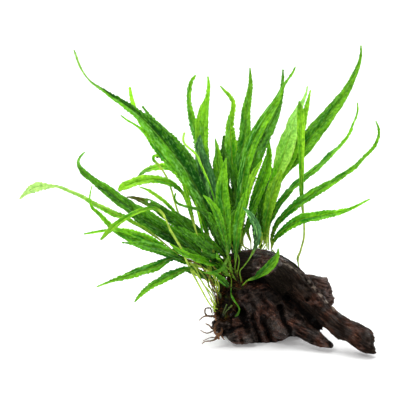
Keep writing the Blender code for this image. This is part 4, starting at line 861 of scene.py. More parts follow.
def add_range(tree, value, low, high, new_low=0.0, new_high=1.0):
    inputs = {"Value": value, "From Min": low, "From Max": high, "To Min": new_low, "To Max": new_high}
    return add_node(tree, "MapRange", inputs).outputs["Result"]


def add_sum(tree, one, factor, two):
    """The first value times a factor, plus the second, as an output socket."""
    return add_node(tree, "Math", {0: one, 1: factor, 2: two}, operation="MULTIPLY_ADD").outputs[0]


def add_bump(tree, height, strength, distance):
    inputs = {"Height": height, "Strength": strength, "Distance": distance}
    return add_node(tree, "Bump", inputs).outputs["Normal"]


def new_material(name):
    """An empty material with its node tree and shader."""
    material = bpy.data.materials.new(name)
    material.use_nodes = True
    tree = material.node_tree
    return material, tree, tree.nodes["Principled BSDF"]


def frond_material(name, roughness, coat, glow, glints):
    """Leaf: the tint of each place, a net of veins between bulging cells, and a wet coat. glow: how
    much light it scatters inside. glints: how pale its short strokes of painted glints are."""
    material, tree, shader = new_material(name)
    tint = add_attribute(tree, "tint")
    place = add_node(tree, "UVMap", uv_map="blade").outputs["UV"]
    warp = add_noise(tree, place, 3.0, 2.0, output="Color")
    squeezed = add_stretch(tree, place, 1.0, 0.62)
    bent = add_node(tree, "MixRGB", {0: 0.08, 1: squeezed, 2: warp}, blend_type="ADD").outputs[0]
    cells = add_node(tree, "TexVoronoi", {"Vector": bent, "Scale": 6.5}, feature="DISTANCE_TO_EDGE")
    from_vein = cells.outputs["Distance"]
    mottle = add_noise(tree, place, 4.5, 4.0)
    dull, lively = toned(tree, tint, 0.70, 0.79, 0.50), toned(tree, tint, 1.22, 1.13, 1.05)
    patches = add_mix(tree, add_range(tree, mottle, 0.35, 0.65), dull, lively)
    netted = add_mix(tree, 0.6, dull, patches)
    colour = add_mix(tree, add_range(tree, from_vein, 0.0, 0.12), netted, patches)
    strokes = add_noise(tree, add_stretch(tree, place, 9.0, 2.3), 1.0, 3.0)
    deep = toned(tree, tint, 0.42, 0.56, 0.40)
    colour = add_mix(tree, add_range(tree, strokes, 0.50, 0.36, 0.0, 0.85), colour, deep)
    # painted glints: short strokes mixed towards the pale painted sheen colour
    pale = (*(0.9 * rgb(PAINTED_SHEEN)), 1)
    colour = add_mix(tree, add_range(tree, strokes, 0.57, 0.68, 0.0, glints), colour, pale)
    bulge = add_range(tree, from_vein, 0.0, 0.3)
    height = add_sum(tree, add_noise(tree, place, 30.0, 3.0), 0.25, bulge)
    set_inputs(tree, shader, {
        "Base Color": colour,
        "Normal": add_bump(tree, height, 0.5, 0.25 * MM),
        "Specular IOR Level": 0.07,
        "Roughness": add_range(tree, mottle, 0.3, 0.7, roughness - 0.08, roughness + 0.12),
        "Coat Weight": coat,
        "Coat Roughness": 0.18,
        "Subsurface Weight": glow,
        "Subsurface Radius": (0.6, 1.0, 0.15),
        "Subsurface Scale": 1.2 * MM,
    })
    return material


def wood_material():
    """Wet driftwood: tint by height and grain with painted shade in its hollows, finer streaks, painted
    glints, and a film of water on what stands out.
    """
    material, tree, shader = new_material("wet_driftwood")
    tint = add_attribute(tree, "tint")
    along = add_attribute(tree, "grain", "Vector")
    streaks = add_noise(tree, along, 1.0, 6.0, roughness=0.65)
    specks = add_noise(tree, add_node(tree, "TexCoord").outputs["Object"], 700.0, 5.0)
    dark, pale = toned(tree, tint, 0.40, 0.40, 0.40), toned(tree, tint, 1.7, 1.52, 1.46)
    colour = add_mix(tree, add_range(tree, streaks, 0.38, 0.64), dark, pale)
    colour = add_mix(tree, add_range(tree, specks, 0.45, 0.65, 0.0, 0.35), colour, dark)
    # painted glints: small strokes where the tint is made much lighter
    glints = add_range(tree, add_noise(tree, along, 1.6, 2.0), 0.60, 0.68, 0.0, 0.8)
    colour = add_mix(tree, glints, colour, toned(tree, tint, 3.4, 3.2, 3.2))
    normal = add_bump(tree, add_sum(tree, streaks, 2.2, specks), 0.9, 1.0 * MM)
    film = add_sum(tree, streaks, 1.2, add_attribute(tree, "damp", "Fac"))
    set_inputs(tree, shader, {
        "Base Color": colour,
        "Normal": normal,
        "Specular IOR Level": 0.05,
        "Roughness": 0.7,
        "Coat Normal": normal,
        "Coat Weight": add_range(tree, film, 0.75, 1.35),
        "Coat Roughness": 0.2,
    })
    return material


def fibre_material(name, roughness, coat, gloss=0.2):
    """Roots, rhizomes and shoots: their tint, broken up along and across."""
    material, tree, shader = new_material(name)
    tint = add_attribute(tree, "tint")
    patches = add_noise(tree, add_node(tree, "TexCoord").outputs["Object"], 700.0, 4.0)
    dark, pale = toned(tree, tint, 0.5, 0.5, 0.5), toned(tree, tint, 1.35, 1.35, 1.35)
    set_inputs(tree, shader, {
        "Base Color": add_mix(tree, add_range(tree, patches, 0.35, 0.65), dark, pale),
        "Normal": add_bump(tree, patches, 0.7, 0.3 * MM),
        "Specular IOR Level": gloss,
        "Roughness": add_range(tree, patches, 0.3, 0.7, roughness - 0.1, roughness + 0.15),
        "Coat Weight": coat,
        "Coat Roughness": 0.2,
    })
    return material


def paper_material(name, *greys):
    """The floor: almost white, with a faint grain between two greys, and a faint glow of its own, a
    painted light that lifts the shadows on it.
    """
    material, tree, shader = new_material(name)
    grain = add_noise(tree, add_node(tree, "TexCoord").outputs["Generated"], 60.0, 3.0)
    one, two = ((grey, grey, grey, 1) for grey in greys)
    set_inputs(tree, shader, {
        "Base Color": add_mix(tree, add_range(tree, grain, 0.3, 0.7), one, two),
        "Roughness": 0.8,
        # painted light: the floor glows faintly, which lifts the shadows on it
        "Emission Color": (1, 1, 1, 1),
        "Emission Strength": 0.2,
    })
    return material


# ---- meshes ----
def add_layer(mesh, name, kind, field, values):
    """A value of its own for every place of the mesh."""
    layer = mesh.attributes.new(name, kind, "POINT")
    layer.data.foreach_set(field, values.astype(np.float32).ravel())


def set_tint(mesh, tint):
    add_layer(mesh, "tint", "FLOAT_COLOR", "color", np.column_stack([tint, np.ones(len(tint))]))


def new_piece(name, mesh, material, nodes):
    """A piece of the plant, in place, that stands for these solids."""
    made = bpy.data.objects.new(name, mesh)
    bpy.context.scene.collection.objects.link(made)
    mesh.materials.append(material)
    mesh.shade_smooth()
    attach(made, "root")
    if nodes:
        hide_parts(*nodes)


def ring_faces(rows, around):
    """Faces between rings of places, one ring after another."""
    index = np.arange(rows * around).reshape(rows, around)
    after = np.roll(index, -1, axis=1)
    return np.stack([index[:-1], after[:-1], after[1:], index[1:]], axis=-1).reshape(-1, 4).tolist()


def end_faces(rows, around):
    """Faces from the first ring and the last to a point each, which stand after the rings."""
    start = rows * around
    last, faces = start - around, []
    for k in range(around):
        after = (k + 1) % around
        faces += [[after, k, start], [last + k, last + after, start + 1]]
    return faces


class Heap:
    """Many small closed shapes that become one mesh."""

    def __init__(self):
        self.places, self.faces, self.tints, self.count = [], [], [], 0

    def add(self, places, faces, tint):
        self.places.append(places)
        self.faces += [[corner + self.count for corner in face] for face in faces]
        self.tints.append(np.broadcast_to(tint, places.shape))
        self.count += len(places)

    def mesh(self, name):
        made = bpy.data.meshes.new(name)
        made.from_pydata(np.vstack(self.places).tolist(), [], self.faces)
        set_tint(made, np.vstack(self.tints))
        return made


def strand(route, radii, sides, lumps=0.0, seed=0):
    """Places and faces of a tapering strand along a route in metres, closed at both ends."""
    count = len(route)
    tangent = unit(np.gradient(route, axis=0))
    one = unit(np.cross(tangent, STRAND_GUIDE))
    two = np.cross(tangent, one)
    angle = np.linspace(0, 2 * math.pi, sides, endpoint=False)
    swell = 1 + lumps * noise(np.arange(count) * 0.7, seed * 3.1)[:, None]
    around = one[:, None] * np.cos(angle)[:, None] + two[:, None] * np.sin(angle)[:, None]
    rings = route[:, None] + around * (np.asarray(radii)[:, None] * swell)[..., None]
    places = np.vstack([rings.reshape(-1, 3), route[:1], route[-1:]])
    return places, ring_faces(count, sides) + end_faces(count, sides)


def swollen(places, route, sides, swell):
    """A strand's places, each moved off its route by a share of its distance from it."""
    middles = np.vstack([np.repeat(route, sides, axis=0), route[:1], route[-1:]])
    return places + (places - middles) * swell[:, None]


def rounded(radii, *shares):
    """The radii with these shares of them at the start, and the same at the end in reverse."""
    radii[:3] *= shares
    radii[-3:] *= shares[::-1]
    return radii


# ---- fronds ----
def look_of(name, frond):
    """The frond's look, with its own tone filled in where the look names none."""
    # shaded: the stalk takes the darker colour of painted shade
    look = dict(PLAIN_LOOK, **LOOKS.get(name, {}), shaded=frond[0] == "front_rhizome")
    look["tone"] = look["tone"] or frond[4]
    return look


def front_route(frond, stations):
    """Places of the frond as seen from the front, and its half width there, before the fronds are
    settled apart."""
    rhizome, slot, _, depths, _, readings = frond
    route = PIXEL * (np.array(readings, float) - (*ORIGIN, 0)) * (1, -1, 1)
    start, out = socket(rhizome, slot, from_front([*route[0, :2], depths[0]]))
    foot = [[*to_front(place), STALK_RADIUS] for place in (start, start + out * SOCKET_RISE * MM)]
    share = run_along(route[:, :2]) / run_along(route[:, :2])[-1]
    back = np.interp(share, [0, 0.5, 1], depths)
    line = np.vstack([foot, np.column_stack([route[:, :2], back, route[:, 2] / 2])])
    return smooth_line(line, stations)


def settle(fronds):
    """How far back every frond lies at its stations, with room between fronds that cross."""
    lines = np.array([front_route(frond, FINE_STATIONS) for frond in fronds])
    owner = np.repeat(np.arange(len(fronds)), FINE_STATIONS)
    places = lines[..., :3].reshape(-1, 3)
    from_foot = np.concatenate([run_along(line[:, :3]) for line in lines])
    settle_crossings(places, owner, np.maximum(lines[..., 3].ravel(), STALK_RADIUS), from_foot)
    return places[:, 2].reshape(len(fronds), FINE_STATIONS)


def clean_foot(line, rhizome):
    """The line with its first stretch drawn as one arc out of the middle of its rhizome."""
    run = run_along(line)
    last = int(np.searchsorted(run, min(FOOT_ARC[rhizome], 0.45 * run[-1])))
    axis = smooth_line(RHIZOMES[rhizome], FINE_RHIZOME)
    start = axis[np.argmin(np.linalg.norm(axis - line[0], axis=1))]
    start = start + 0.6 * (line[0] - start)
    reach = np.linalg.norm(line[last] - start)
    leave = unit(line[last] - start)
    arrive = unit(line[last + 1] - line[last - 1])
    x = np.linspace(0, 1, last + 1)[:, None]
    arc = ((2 * x**3 - 3 * x**2 + 1) * start + (x**3 - 2 * x**2 + x) * reach * leave
           + (3 * x**2 - 2 * x**3) * line[last] + (x**3 - x**2) * reach * arrive)
    return np.vstack([arc[:-1], line[last:]])


def widened(half, leaf, places, seen):
    """Half widths of a blade that isn't seen square on, so that it looks as wide as it was read."""
    course = unit(np.gradient(to_front(places)[:, :2], axis=0))
    shown = np.abs(seen[:, 0] * course[:, 1] - seen[:, 1] * course[:, 0])
    return np.where(leaf, half / np.clip(shown, LEAST_SHOWN, 1), half)


def margins(look, half, share, along, seed):
    """Half widths in mm of the blade's two sides: crinkled margins, and a beaded thread at the tip."""
    beads = look["beads"] * np.maximum(0, noise(along / 1.9, 4.0, seed)) * smooth_step(share, 0.6, 0.75)
    sides = []
    for side in (0, 1):
        wave = 0.12 * noise(along / 9.0, side * 7.0, seed)
        phase = along / TOOTH + 1.1 * noise(along / 7.0, side * 5.0, seed + 20)
        depth = 0.2 + 0.5 * np.abs(noise(along / 11.0, side * 3.0, seed + 40))
        teeth = depth * np.sin(2 * np.pi * phase) + 0.36 * noise(along / 1.7, side * 7.0, seed + 90)
        teeth = look["teeth"] * teeth * smooth_step(half, 0.5, 2.0)
        body = half * (1 + wave) + teeth + OUTSET
        sides.append(np.maximum(body + 0.8 * beads * smooth_step(-half, -1.5, -0.8), LEAST_HALF))
    return sides


def across_blade(across, side, rib, spread):
    """How far right of the middle line each place lies: round on a stalk, and even on a blade. across:
    from -1 at the left margin to 1 at the right."""
    a = np.abs(across)
    beside = rib + (side - rib) * (a - RIB_SHARE) / (1 - RIB_SHARE)
    flat = np.where(a < RIB_SHARE, rib * a / RIB_SHARE, beside)
    return np.sign(across) * ((1 - spread) * side * np.sin(np.pi / 2 * a) + spread * flat)


def blade_lift(look, run, x, across, rib, side, mean, wave, quilt, seed):
    """How far the sheet of a blade stands off its plane: folded, ruffled, crimped and quilted."""
    a, half = np.abs(across), np.sign(across)
    lift = look["fold"] * (np.maximum(0, np.abs(x) - rib) - 0.5 * mean)
    lift += 0.10 * side * np.sin(np.pi * a)
    lift += look["ruffle"] * side * a**2 * noise(run / wave, 3.0 * half, seed + 7.0)
    lift += 0.55 * a**3 * noise(run / 2.6, 5.0 * half, seed + 3.0)
    pucker = noise(x / 2.2, run / 3.0, seed + 11.0)
    return lift + (0.36 * quilt + 0.26 * pucker) * smooth_step(np.abs(x), 0.3, 1.2)


def both_faces(upper, lower):
    """Values of a frond's two faces as closed rings: over the upper face and back over the lower."""
    return np.concatenate([upper, lower[:, -2:0:-1]], axis=1)


def frond_shape(frond, look, line, half, seed):
    """Rings of places and tints of a fine frond, with the numbers that its maps need."""
    places, sideways, facing = frond_frames(line, frond[2])
    share = np.linspace(0, 1, len(line))
    along = share * run_along(places)[-1] / MM
    leaf = half > LEAF_HALF
    stalk = share[np.argmax(leaf)] if leaf.any() else ALL_STALK
    blade = np.clip((share - stalk) / (1 - stalk), 0, 1)
    twist = TWIST * noise(along / 45.0, 2.0, seed) * smooth_step(blade, 0, 0.3)
    sideways, facing = turned(sideways, facing, np.radians(twist))
    seen = to_front(places + sideways * MM) - to_front(places)
    half = widened(half, leaf, places, seen)
    half = half - STALK_SLIM * smooth_step(-half, -1.0, -0.75) * (share < 0.6)
    left, right = margins(look, half, share, along, seed)
    points = next(points for most, points in ACROSS if 2 * half.max() <= most)
    across = np.linspace(-1, 1, points)
    side = np.where(across < 0, left[:, None], right[:, None])
    mean = (left + right)[:, None] / 2
    run, blade = along[:, None], blade[:, None]
    rib = np.minimum(STALK_RADIUS * (1 - 0.7 * smooth_step(blade, -0.1, 1.0)), mean)
    spread = smooth_step(mean, 0.8, 1.7)
    x = across_blade(across, side, rib, spread)
    quilt = noise((run - 0.55 * np.abs(x)) / 1.9, np.abs(x) / 4.5, seed + 2.0 * np.sign(across))
    wave = 1.8 * half.max() + 2.0
    lift = spread * blade_lift(look, run, x, across, rib, side, mean, wave, quilt, seed)
    round_part = np.sqrt(np.maximum(0, rib**2 - x**2))
    sheet = SHEET * np.sqrt(np.maximum(0, 1 - across**6)) * smooth_step(mean, 0.2, 1.0)
    above = np.maximum(sheet, round_part * (1 - 0.55 * spread))
    below = np.maximum(sheet, round_part)
    above[:, [0, -1]] = below[:, [0, -1]] = 0

    def placed(height):
        off = sideways[:, None] * x[..., None] + facing[:, None] * height[..., None]
        return places[:, None] + off * MM

    rightward = np.sign(across) * np.clip(3 * seen[:, :1], -1, 1)
    tint = frond_tint(look, blade, run, x, across, rib, spread, quilt, rightward, seed)
    under = mixed(tint, rgb(TINTS[look["tone"]][1]), 0.2)
    rings = both_faces(placed(lift + above), placed(lift - below))
    return rings, both_faces(tint, under), both_faces(x, x), along


def frond_tint(look, blade, run, x, across, rib, spread, quilt, rightward, seed):
    """Colour of every place: deep beside the midrib, brighter at the margins as painted lit edges, bright
    at the tip, lighter on raised quilting and on one half as painted light, darker towards the foot as
    painted shade, and pale with painted sheen where it would shine.
    """
    deep, bright, midrib, stalk = (rgb(colour) for colour in TINTS[look["tone"]])
    if look["stalk"] or look["shaded"]:
        stalk = rgb(look["stalk"] or SHADED_STALK)
    # painted shade: the blade darkens towards its foot, deep in the tuft
    foot_shade = smooth_step(-blade, -0.5, 0.0)
    patch = noise(run / 15.0, x / 5.0, seed, octaves=2)
    lengthwise = noise(x / 0.8, run / 26.0, seed + 5.0)
    # painted light: brighter towards the margins, as lit edges
    share = 0.26 + 0.35 * np.abs(across) ** 3 + 0.35 * smooth_step(blade, 0.5, 1.0) + 0.34 * patch
    # painted light: lighter where the quilt stands up, and on one half by the look's right value
    share += 0.26 * quilt + 0.34 * lengthwise + look["right"] * rightward - 0.5 * foot_shade
    tint = mixed(deep, bright, share)
    # painted sheen: pale streaks mixed into the tint where the blade would shine
    shine = noise(x / 0.95, run / 13.0, seed + 8.0, octaves=2) - 0.25 * rightward - 0.30
    shine = smooth_step(shine, 0.0, 0.45) * smooth_step(blade, 0.0, 0.3) * look["sheen"] * PAINTED_SHEEN_SHARE
    tint = mixed(tint, rgb(PAINTED_SHEEN), shine)
    if look["tip"]:
        start, reach = 1 - look["tip_reach"], 0.9 * look["tip_reach"]
        tint = mixed(tint, rgb(look["tip"]), smooth_step(blade + 0.1 * patch, start, start + reach))
    on_rib = smooth_step(-np.abs(x), -1.25 * rib, -0.7 * rib) * spread
    # painted shade: the blade's foot darkened further
    tint = tint * (1 - 0.22 * foot_shade * spread)[..., None]
    tint = look["light"] * mixed(tint, midrib, 0.5 * on_rib * (1 - 0.6 * blade))
    brown = smooth_step(noise(run / 40.0, 8.0, seed), 0.25, 0.7)
    stalk_tint = mixed(stalk, rgb(OLD_STALK), 0.4 * brown)
    return mixed(tint, stalk_tint, (1 - spread) * smooth_step(-blade, -0.35, -0.1))


def strip_map(across_map, along, top_faces):
    """A map for the whole frond with no overlap: it is cut in lengths, laid one above another."""
    rows, around = across_map.shape
    width = 2 * np.abs(across_map).max() + 0.8
    lengths = max(1, int(round(math.sqrt(along[-1] / (2 * width)))))
    per = math.ceil((rows - 1) / lengths)
    row = np.repeat(np.arange(rows - 1), around).reshape(-1, around)
    ring = np.tile(np.arange(around), (rows - 1, 1))
    after = (ring + 1) % around
    strip = row // per
    below = ring >= top_faces
    corners = []
    for r, k in ((row, ring), (row, after), (row + 1, after), (row + 1, ring)):
        u = (along[r] - along[strip * per]) / along[min(per, rows - 1)]
        v = (across_map[r, k] / width + 0.5 + below + 2 * strip) / (2 * lengths)
        corners.append(np.stack([u * 0.98 + 0.01, v * 0.99 + 0.005], axis=-1))
    return np.stack(corners, axis=2).reshape(-1, 2)


def frond_mesh(frond, look, line, half, seed):
    """The frond's closed mesh, with its tint, the blade's own map for the veins, and the bake's map."""
    rings, tints, across_map, along = frond_shape(frond, look, line, half, seed)
    rows, around = across_map.shape
    faces = ring_faces(rows, around)
    ends = [rings[0].mean(axis=0), 2 * rings[-1].mean(axis=0) - rings[-2].mean(axis=0)]
    places = np.vstack([rings.reshape(-1, 3), ends])
    mesh = bpy.data.meshes.new("frond")
    mesh.from_pydata(places.tolist(), [], faces + end_faces(rows, around))
    set_tint(mesh, np.vstack([tints.reshape(-1, 3), tints[0, :1], tints[-1, :1]]))
    corner = np.ravel(faces)
    blade = np.stack([across_map.ravel()[corner], along[corner // around]], axis=1) * BLADE_UNIT
    strips = strip_map(across_map, along, (around + 2) // 2 - 1)
    at_ends = np.zeros((6 * around, 2))
    for layer, values in (("blade", blade), ("OFBake", strips)):
        made = mesh.uv_layers.new(name=layer)
        made.uv.foreach_set("vector", np.vstack([values, at_ends]).astype(np.float32).ravel())
    return mesh


def pierce(mesh, place, radius):
    """A round hole through a blade, with a rim between its two faces."""
    shape = bmesh.new()
    shape.from_mesh(mesh)
    centre = min(shape.verts, key=lambda v: np.hypot(*(to_front(v.co)[:2] - place))).co.copy()
    inside = [f for f in shape.faces if (f.calc_center_median() - centre).length < radius * 1.05]
    rim = {v for f in inside for v in f.verts if any(g not in inside for g in v.link_faces)}
    bmesh.ops.delete(shape, geom=inside, context="FACES_KEEP_BOUNDARY")
    for v in rim:
        if v.is_valid:
            v.co = centre + (v.co - centre).normalized() * radius
    bmesh.ops.bridge_loops(shape, edges=[e for e in shape.edges if e.is_boundary])
    bmesh.ops.delete(shape, geom=[v for v in shape.verts if not v.link_faces], context="VERTS")
    shape.to_mesh(mesh)
    shape.free()


def make_leaf_materials():
    """A material for each tone, with its roughness, wet coat, glow and painted glints."""
    return {
        "dark": frond_material("leaf_dark", 0.36, 0.05, 0.08, 0.35),
        "wet": frond_material("leaf_wet", 0.28, 0.20, 0.05, 0.55),
        "mid": frond_material("leaf_mid", 0.38, 0.04, 0.14, 0.25),
        "light": frond_material("leaf_light", 0.42, 0.03, 0.22, 0.15),
        "pale": frond_material("leaf_pale", 0.46, 0.02, 0.28, 0.1),
    }


def make_fronds(materials):
    """The fronds that were read off the photo, with and without a solid."""
    every = {**FRONDS, **MORE_FRONDS}
    for number, (name, back) in enumerate(zip(every, settle(list(every.values())))):
        frond, look = every[name], look_of(name, every[name])
        length = run_along(front_route(frond, FINE_STATIONS)[:, :3])[-1]
        line = front_route(frond, int(length / STATION_STEP))
        line[:, 2] = np.interp(np.linspace(0, 1, len(line)), np.linspace(0, 1, FINE_STATIONS), back)
        foot = clean_foot(line[:, :3], frond[0])
        mesh = frond_mesh(frond, look, foot, line[:, 3], FIRST_SEED + SEED_STEP * number)
        if name == HOLED_FROND:
            pierce(mesh, HOLE_PLACE, HOLE_RADIUS * MM)
        solids = ["frond_" + name] if name in FRONDS else []
        new_piece("fine_" + name, mesh, materials[look["tone"]], solids)


def make_inner_fronds(materials):
    """Leaves inside the tuft that the photo shows only in part, bent a little to either side in turn."""
    for number, (rhizome, place, lean, length, width, tone) in enumerate(INNER):
        other_way = (-1) ** number
        start = resample(smooth_line(RHIZOMES[rhizome], FINE_RHIZOME), np.array([place]))[0]
        start = start + np.array([0, 0, INNER_DEPTH])
        leans = np.radians([lean, 1.5 * lean + INNER_BEND * other_way])
        way, late = np.column_stack([np.sin(leans), np.cos(leans), (0, 0)])
        points = [start, start + 0.35 * length * way, start + length * (0.6 * way + 0.1 * late),
                  start + length * (0.6 * way + 0.4 * late)]
        line = smooth_line(points, int(length / STATION_STEP))
        half = width / 2 * np.sin(np.pi * np.linspace(0.12, 0.97, len(line)) ** 1.3)
        frond = (rhizome, 0, (INNER_TURN * other_way, INNER_TIP_TURN))
        look = dict(PLAIN_LOOK, tone=tone, light=INNER_SHADED_LIGHT, shaded=True)
        mesh = frond_mesh(frond, look, line, half, INNER_SEED + SEED_STEP * number)
        new_piece(f"inner_frond_{number + 1:02d}", mesh, materials[tone], [])


# ---- driftwood ----
def limb_rings(sections, upright=False):
    """Close rings through a limb's sections, each square to its middle line."""
    table = np.array([(*middle, one, two) for middle, one, two in sections], float)
    table = smooth_line(table, int(run_along(table[:, :3])[-1] / LIMB_STEP) + 2)
    middles = from_front(table[:, :3])
    tangents = unit(np.gradient(middles, axis=0))
    guide = np.array([1.0, 0, 0]) if upright else np.array([0, 0, 1.0])
    first = unit(guide - tangents * (tangents @ guide)[:, None])
    second = np.cross(tangents, first)
    angle = np.linspace(0, 2 * math.pi, LIMB_AROUND, endpoint=False)[None, :, None]
    one, two = table[:, 3, None, None] * MM, table[:, 4, None, None] * MM
    rings = middles[:, None] + first[:, None] * np.cos(angle) * one + second[:, None] * np.sin(angle) * two
    return rings, middles, first, second, (table[:, 3] + table[:, 4]) / 2


def limb_heap(limbs):
    """All limbs as closed shapes, one in another, in one mesh."""
    heap = Heap()
    for rings, *_ in limbs:
        first = list(range(LIMB_AROUND))
        last = [len(rings) * LIMB_AROUND - LIMB_AROUND + k for k in first]
        heap.add(rings.reshape(-1, 3), ring_faces(len(rings), LIMB_AROUND) + [first[::-1], last], (0, 0, 0))
    mesh = heap.mesh("driftwood_draft")
    shape = bmesh.new()
    shape.from_mesh(mesh)
    bmesh.ops.recalc_face_normals(shape, faces=shape.faces[:])
    shape.to_mesh(mesh)
    shape.free()
    return mesh


def remeshed(mesh, size):
    """The outer skin of the mesh, in even faces of about this size in mm."""
    holder = bpy.data.objects.new("remesh", mesh)
    bpy.context.scene.collection.objects.link(holder)
    modifier = holder.modifiers.new("skin", "REMESH")
    modifier.mode, modifier.voxel_size = "VOXEL", size * MM
    graph = bpy.context.evaluated_depsgraph_get()
    made = bpy.data.meshes.new_from_object(holder.evaluated_get(graph))
    bpy.data.objects.remove(holder)
    return made


def read_mesh(mesh):
    """Places and normals of the mesh."""
    found = []
    for field in ("co", "normal"):
        values = np.empty(len(mesh.vertices) * 3)
        mesh.vertices.foreach_get(field, values)
        found.append(values.reshape(-1, 3))
    return found


def write_places(mesh, places):
    mesh.vertices.foreach_set("co", places.astype(np.float32).ravel())
    mesh.update()


def distance_to_route(flat, route):
    """Distance in mm of places seen from the front to a polyline."""
    least = np.full(len(flat), np.inf)
    for one, two in zip(route[:-1], route[1:]):
        one, two = np.array(one, float), np.array(two, float)
        along = two - one
        share = np.clip((flat - one) @ along / (along @ along), 0, 1)
        least = np.minimum(least, np.linalg.norm(flat - one - share[:, None] * along, axis=1))
    return least


def relief(flat):
    """How far forward, in mm, the strokes and pits bring the wood at places seen from the front."""
    push = np.zeros(len(flat))
    for route, half, height in STROKES:
        near = distance_to_route(flat, route) / half
        push += height * np.exp(-near**2)
    for place, radius, depth in PITS:
        near = np.linalg.norm(flat - place, axis=1) / radius
        push -= depth * np.exp(-near**4)
    return push


def seen_weight(seen, normals):
    """How much each place faces the front view, and lies on the wood's front."""
    pitch = math.radians(VIEW_PITCH)
    towards = normals @ np.array([0, -math.cos(pitch), math.sin(pitch)])
    return smooth_step(towards, 0.0, 0.45) * (seen[:, 2] < FRONT_ONLY)


def sculpt(mesh):
    """Furrows, ridges, pits and broken edges as the front view shows them."""
    places, normals = read_mesh(mesh)
    seen = to_front(places)
    seen[:, 2] -= relief(seen[:, :2]) * seen_weight(seen, normals)
    for place, radius, move in NICKS:
        near = np.linalg.norm(seen - place, axis=1) / radius
        seen += np.array(move) * np.exp(-near**2)[:, None]
    write_places(mesh, from_front(seen))


def limb_places(places, limbs):
    """For each limb, every place's (run along, two across) in mm, and how much it belongs to it."""
    found, weights = [], []
    for _, middles, first, second, radii in limbs:
        run = run_along(middles) / MM
        gap = np.linalg.norm(places[:, None] - middles[None], axis=2)
        nearest = np.argmin(gap, axis=1)
        off = (places - middles[nearest]) / MM
        one = np.einsum("ij,ij->i", off, first[nearest])
        two = np.einsum("ij,ij->i", off, second[nearest])
        along = run[nearest] + np.einsum("ij,ij->i", off, np.cross(first, second)[nearest])
        found.append(np.column_stack([along, one, two]))
        weights.append(np.exp(-3.0 * (np.hypot(one, two) / radii[nearest]) ** 2) + LEAST_SHARE)
    weights = np.array(weights)
    return found, weights / weights.sum(axis=0)


def weather(mesh, limbs):
    """Flutes, grain, cracks and lumps along each limb. Returns the height, the grain's places, and
    the limb that each place belongs to most."""
    places, normals = read_mesh(mesh)
    found, weights = limb_places(places, limbs)
    x, y, z = places.T / MM
    found[-1] = np.column_stack([z, x + z**2 / STUMP_SWEEP, y])
    height = np.zeros(len(places))
    for number, (spot, weight) in enumerate(zip(found, weights)):
        first = 3 * number
        flutes = 0.5 - np.abs(grain_noise(spot, 42, 7.5, first + 1))
        splits = 0.5 - np.abs(grain_noise(spot, 26, 3.4, first + 60))
        grain = grain_noise(spot, 14, 1.9, first + 2)
        rough = grain_noise(spot, 4.5, 1.9, first + 30)
        crack = np.exp(-(grain_noise(spot, 34, 3.6, first + 3) / 0.08) ** 2)
        crack *= smooth_step(grain_noise(spot, 20, 9, 90), -0.3, 0.3)
        deep = ARM_FLUTES if number == ARM else FLUTES
        height += weight * (deep * flutes + 1.3 * splits + 0.9 * grain + 0.6 * rough - 1.8 * crack)
    height += 0.4 * body_noise(places, 8, 70) + 0.3 * body_noise(places, 3.0, 71)
    height -= 1.2 * smooth_step(body_noise(places, 2.6, 72), 0.5, 0.85)
    calm = 1 - 0.5 * weights[ARM] * smooth_step(-x, -30, 0)
    write_places(mesh, places + normals * ((height * calm - SHRINK) * MM)[:, None])
    limb = np.argmax(weights, axis=0)
    return height, np.array(found)[limb, np.arange(len(places))], limb


def settle_on_floor(mesh):
    """Nothing lies under the floor, or under the wood's lower edge as seen from the front."""
    places, _ = read_mesh(mesh)
    seen = to_front(places)
    edge = np.interp(seen[:, 0], *np.array(UNDERSIDE).T) + 0.5 * noise(seen[:, 0] / 3.0, seen[:, 2] / 9.0)
    seen[:, 1] = np.maximum(seen[:, 1], edge)
    places = from_front(seen)
    places[:, 2] = np.maximum(places[:, 2], 0)
    write_places(mesh, places)


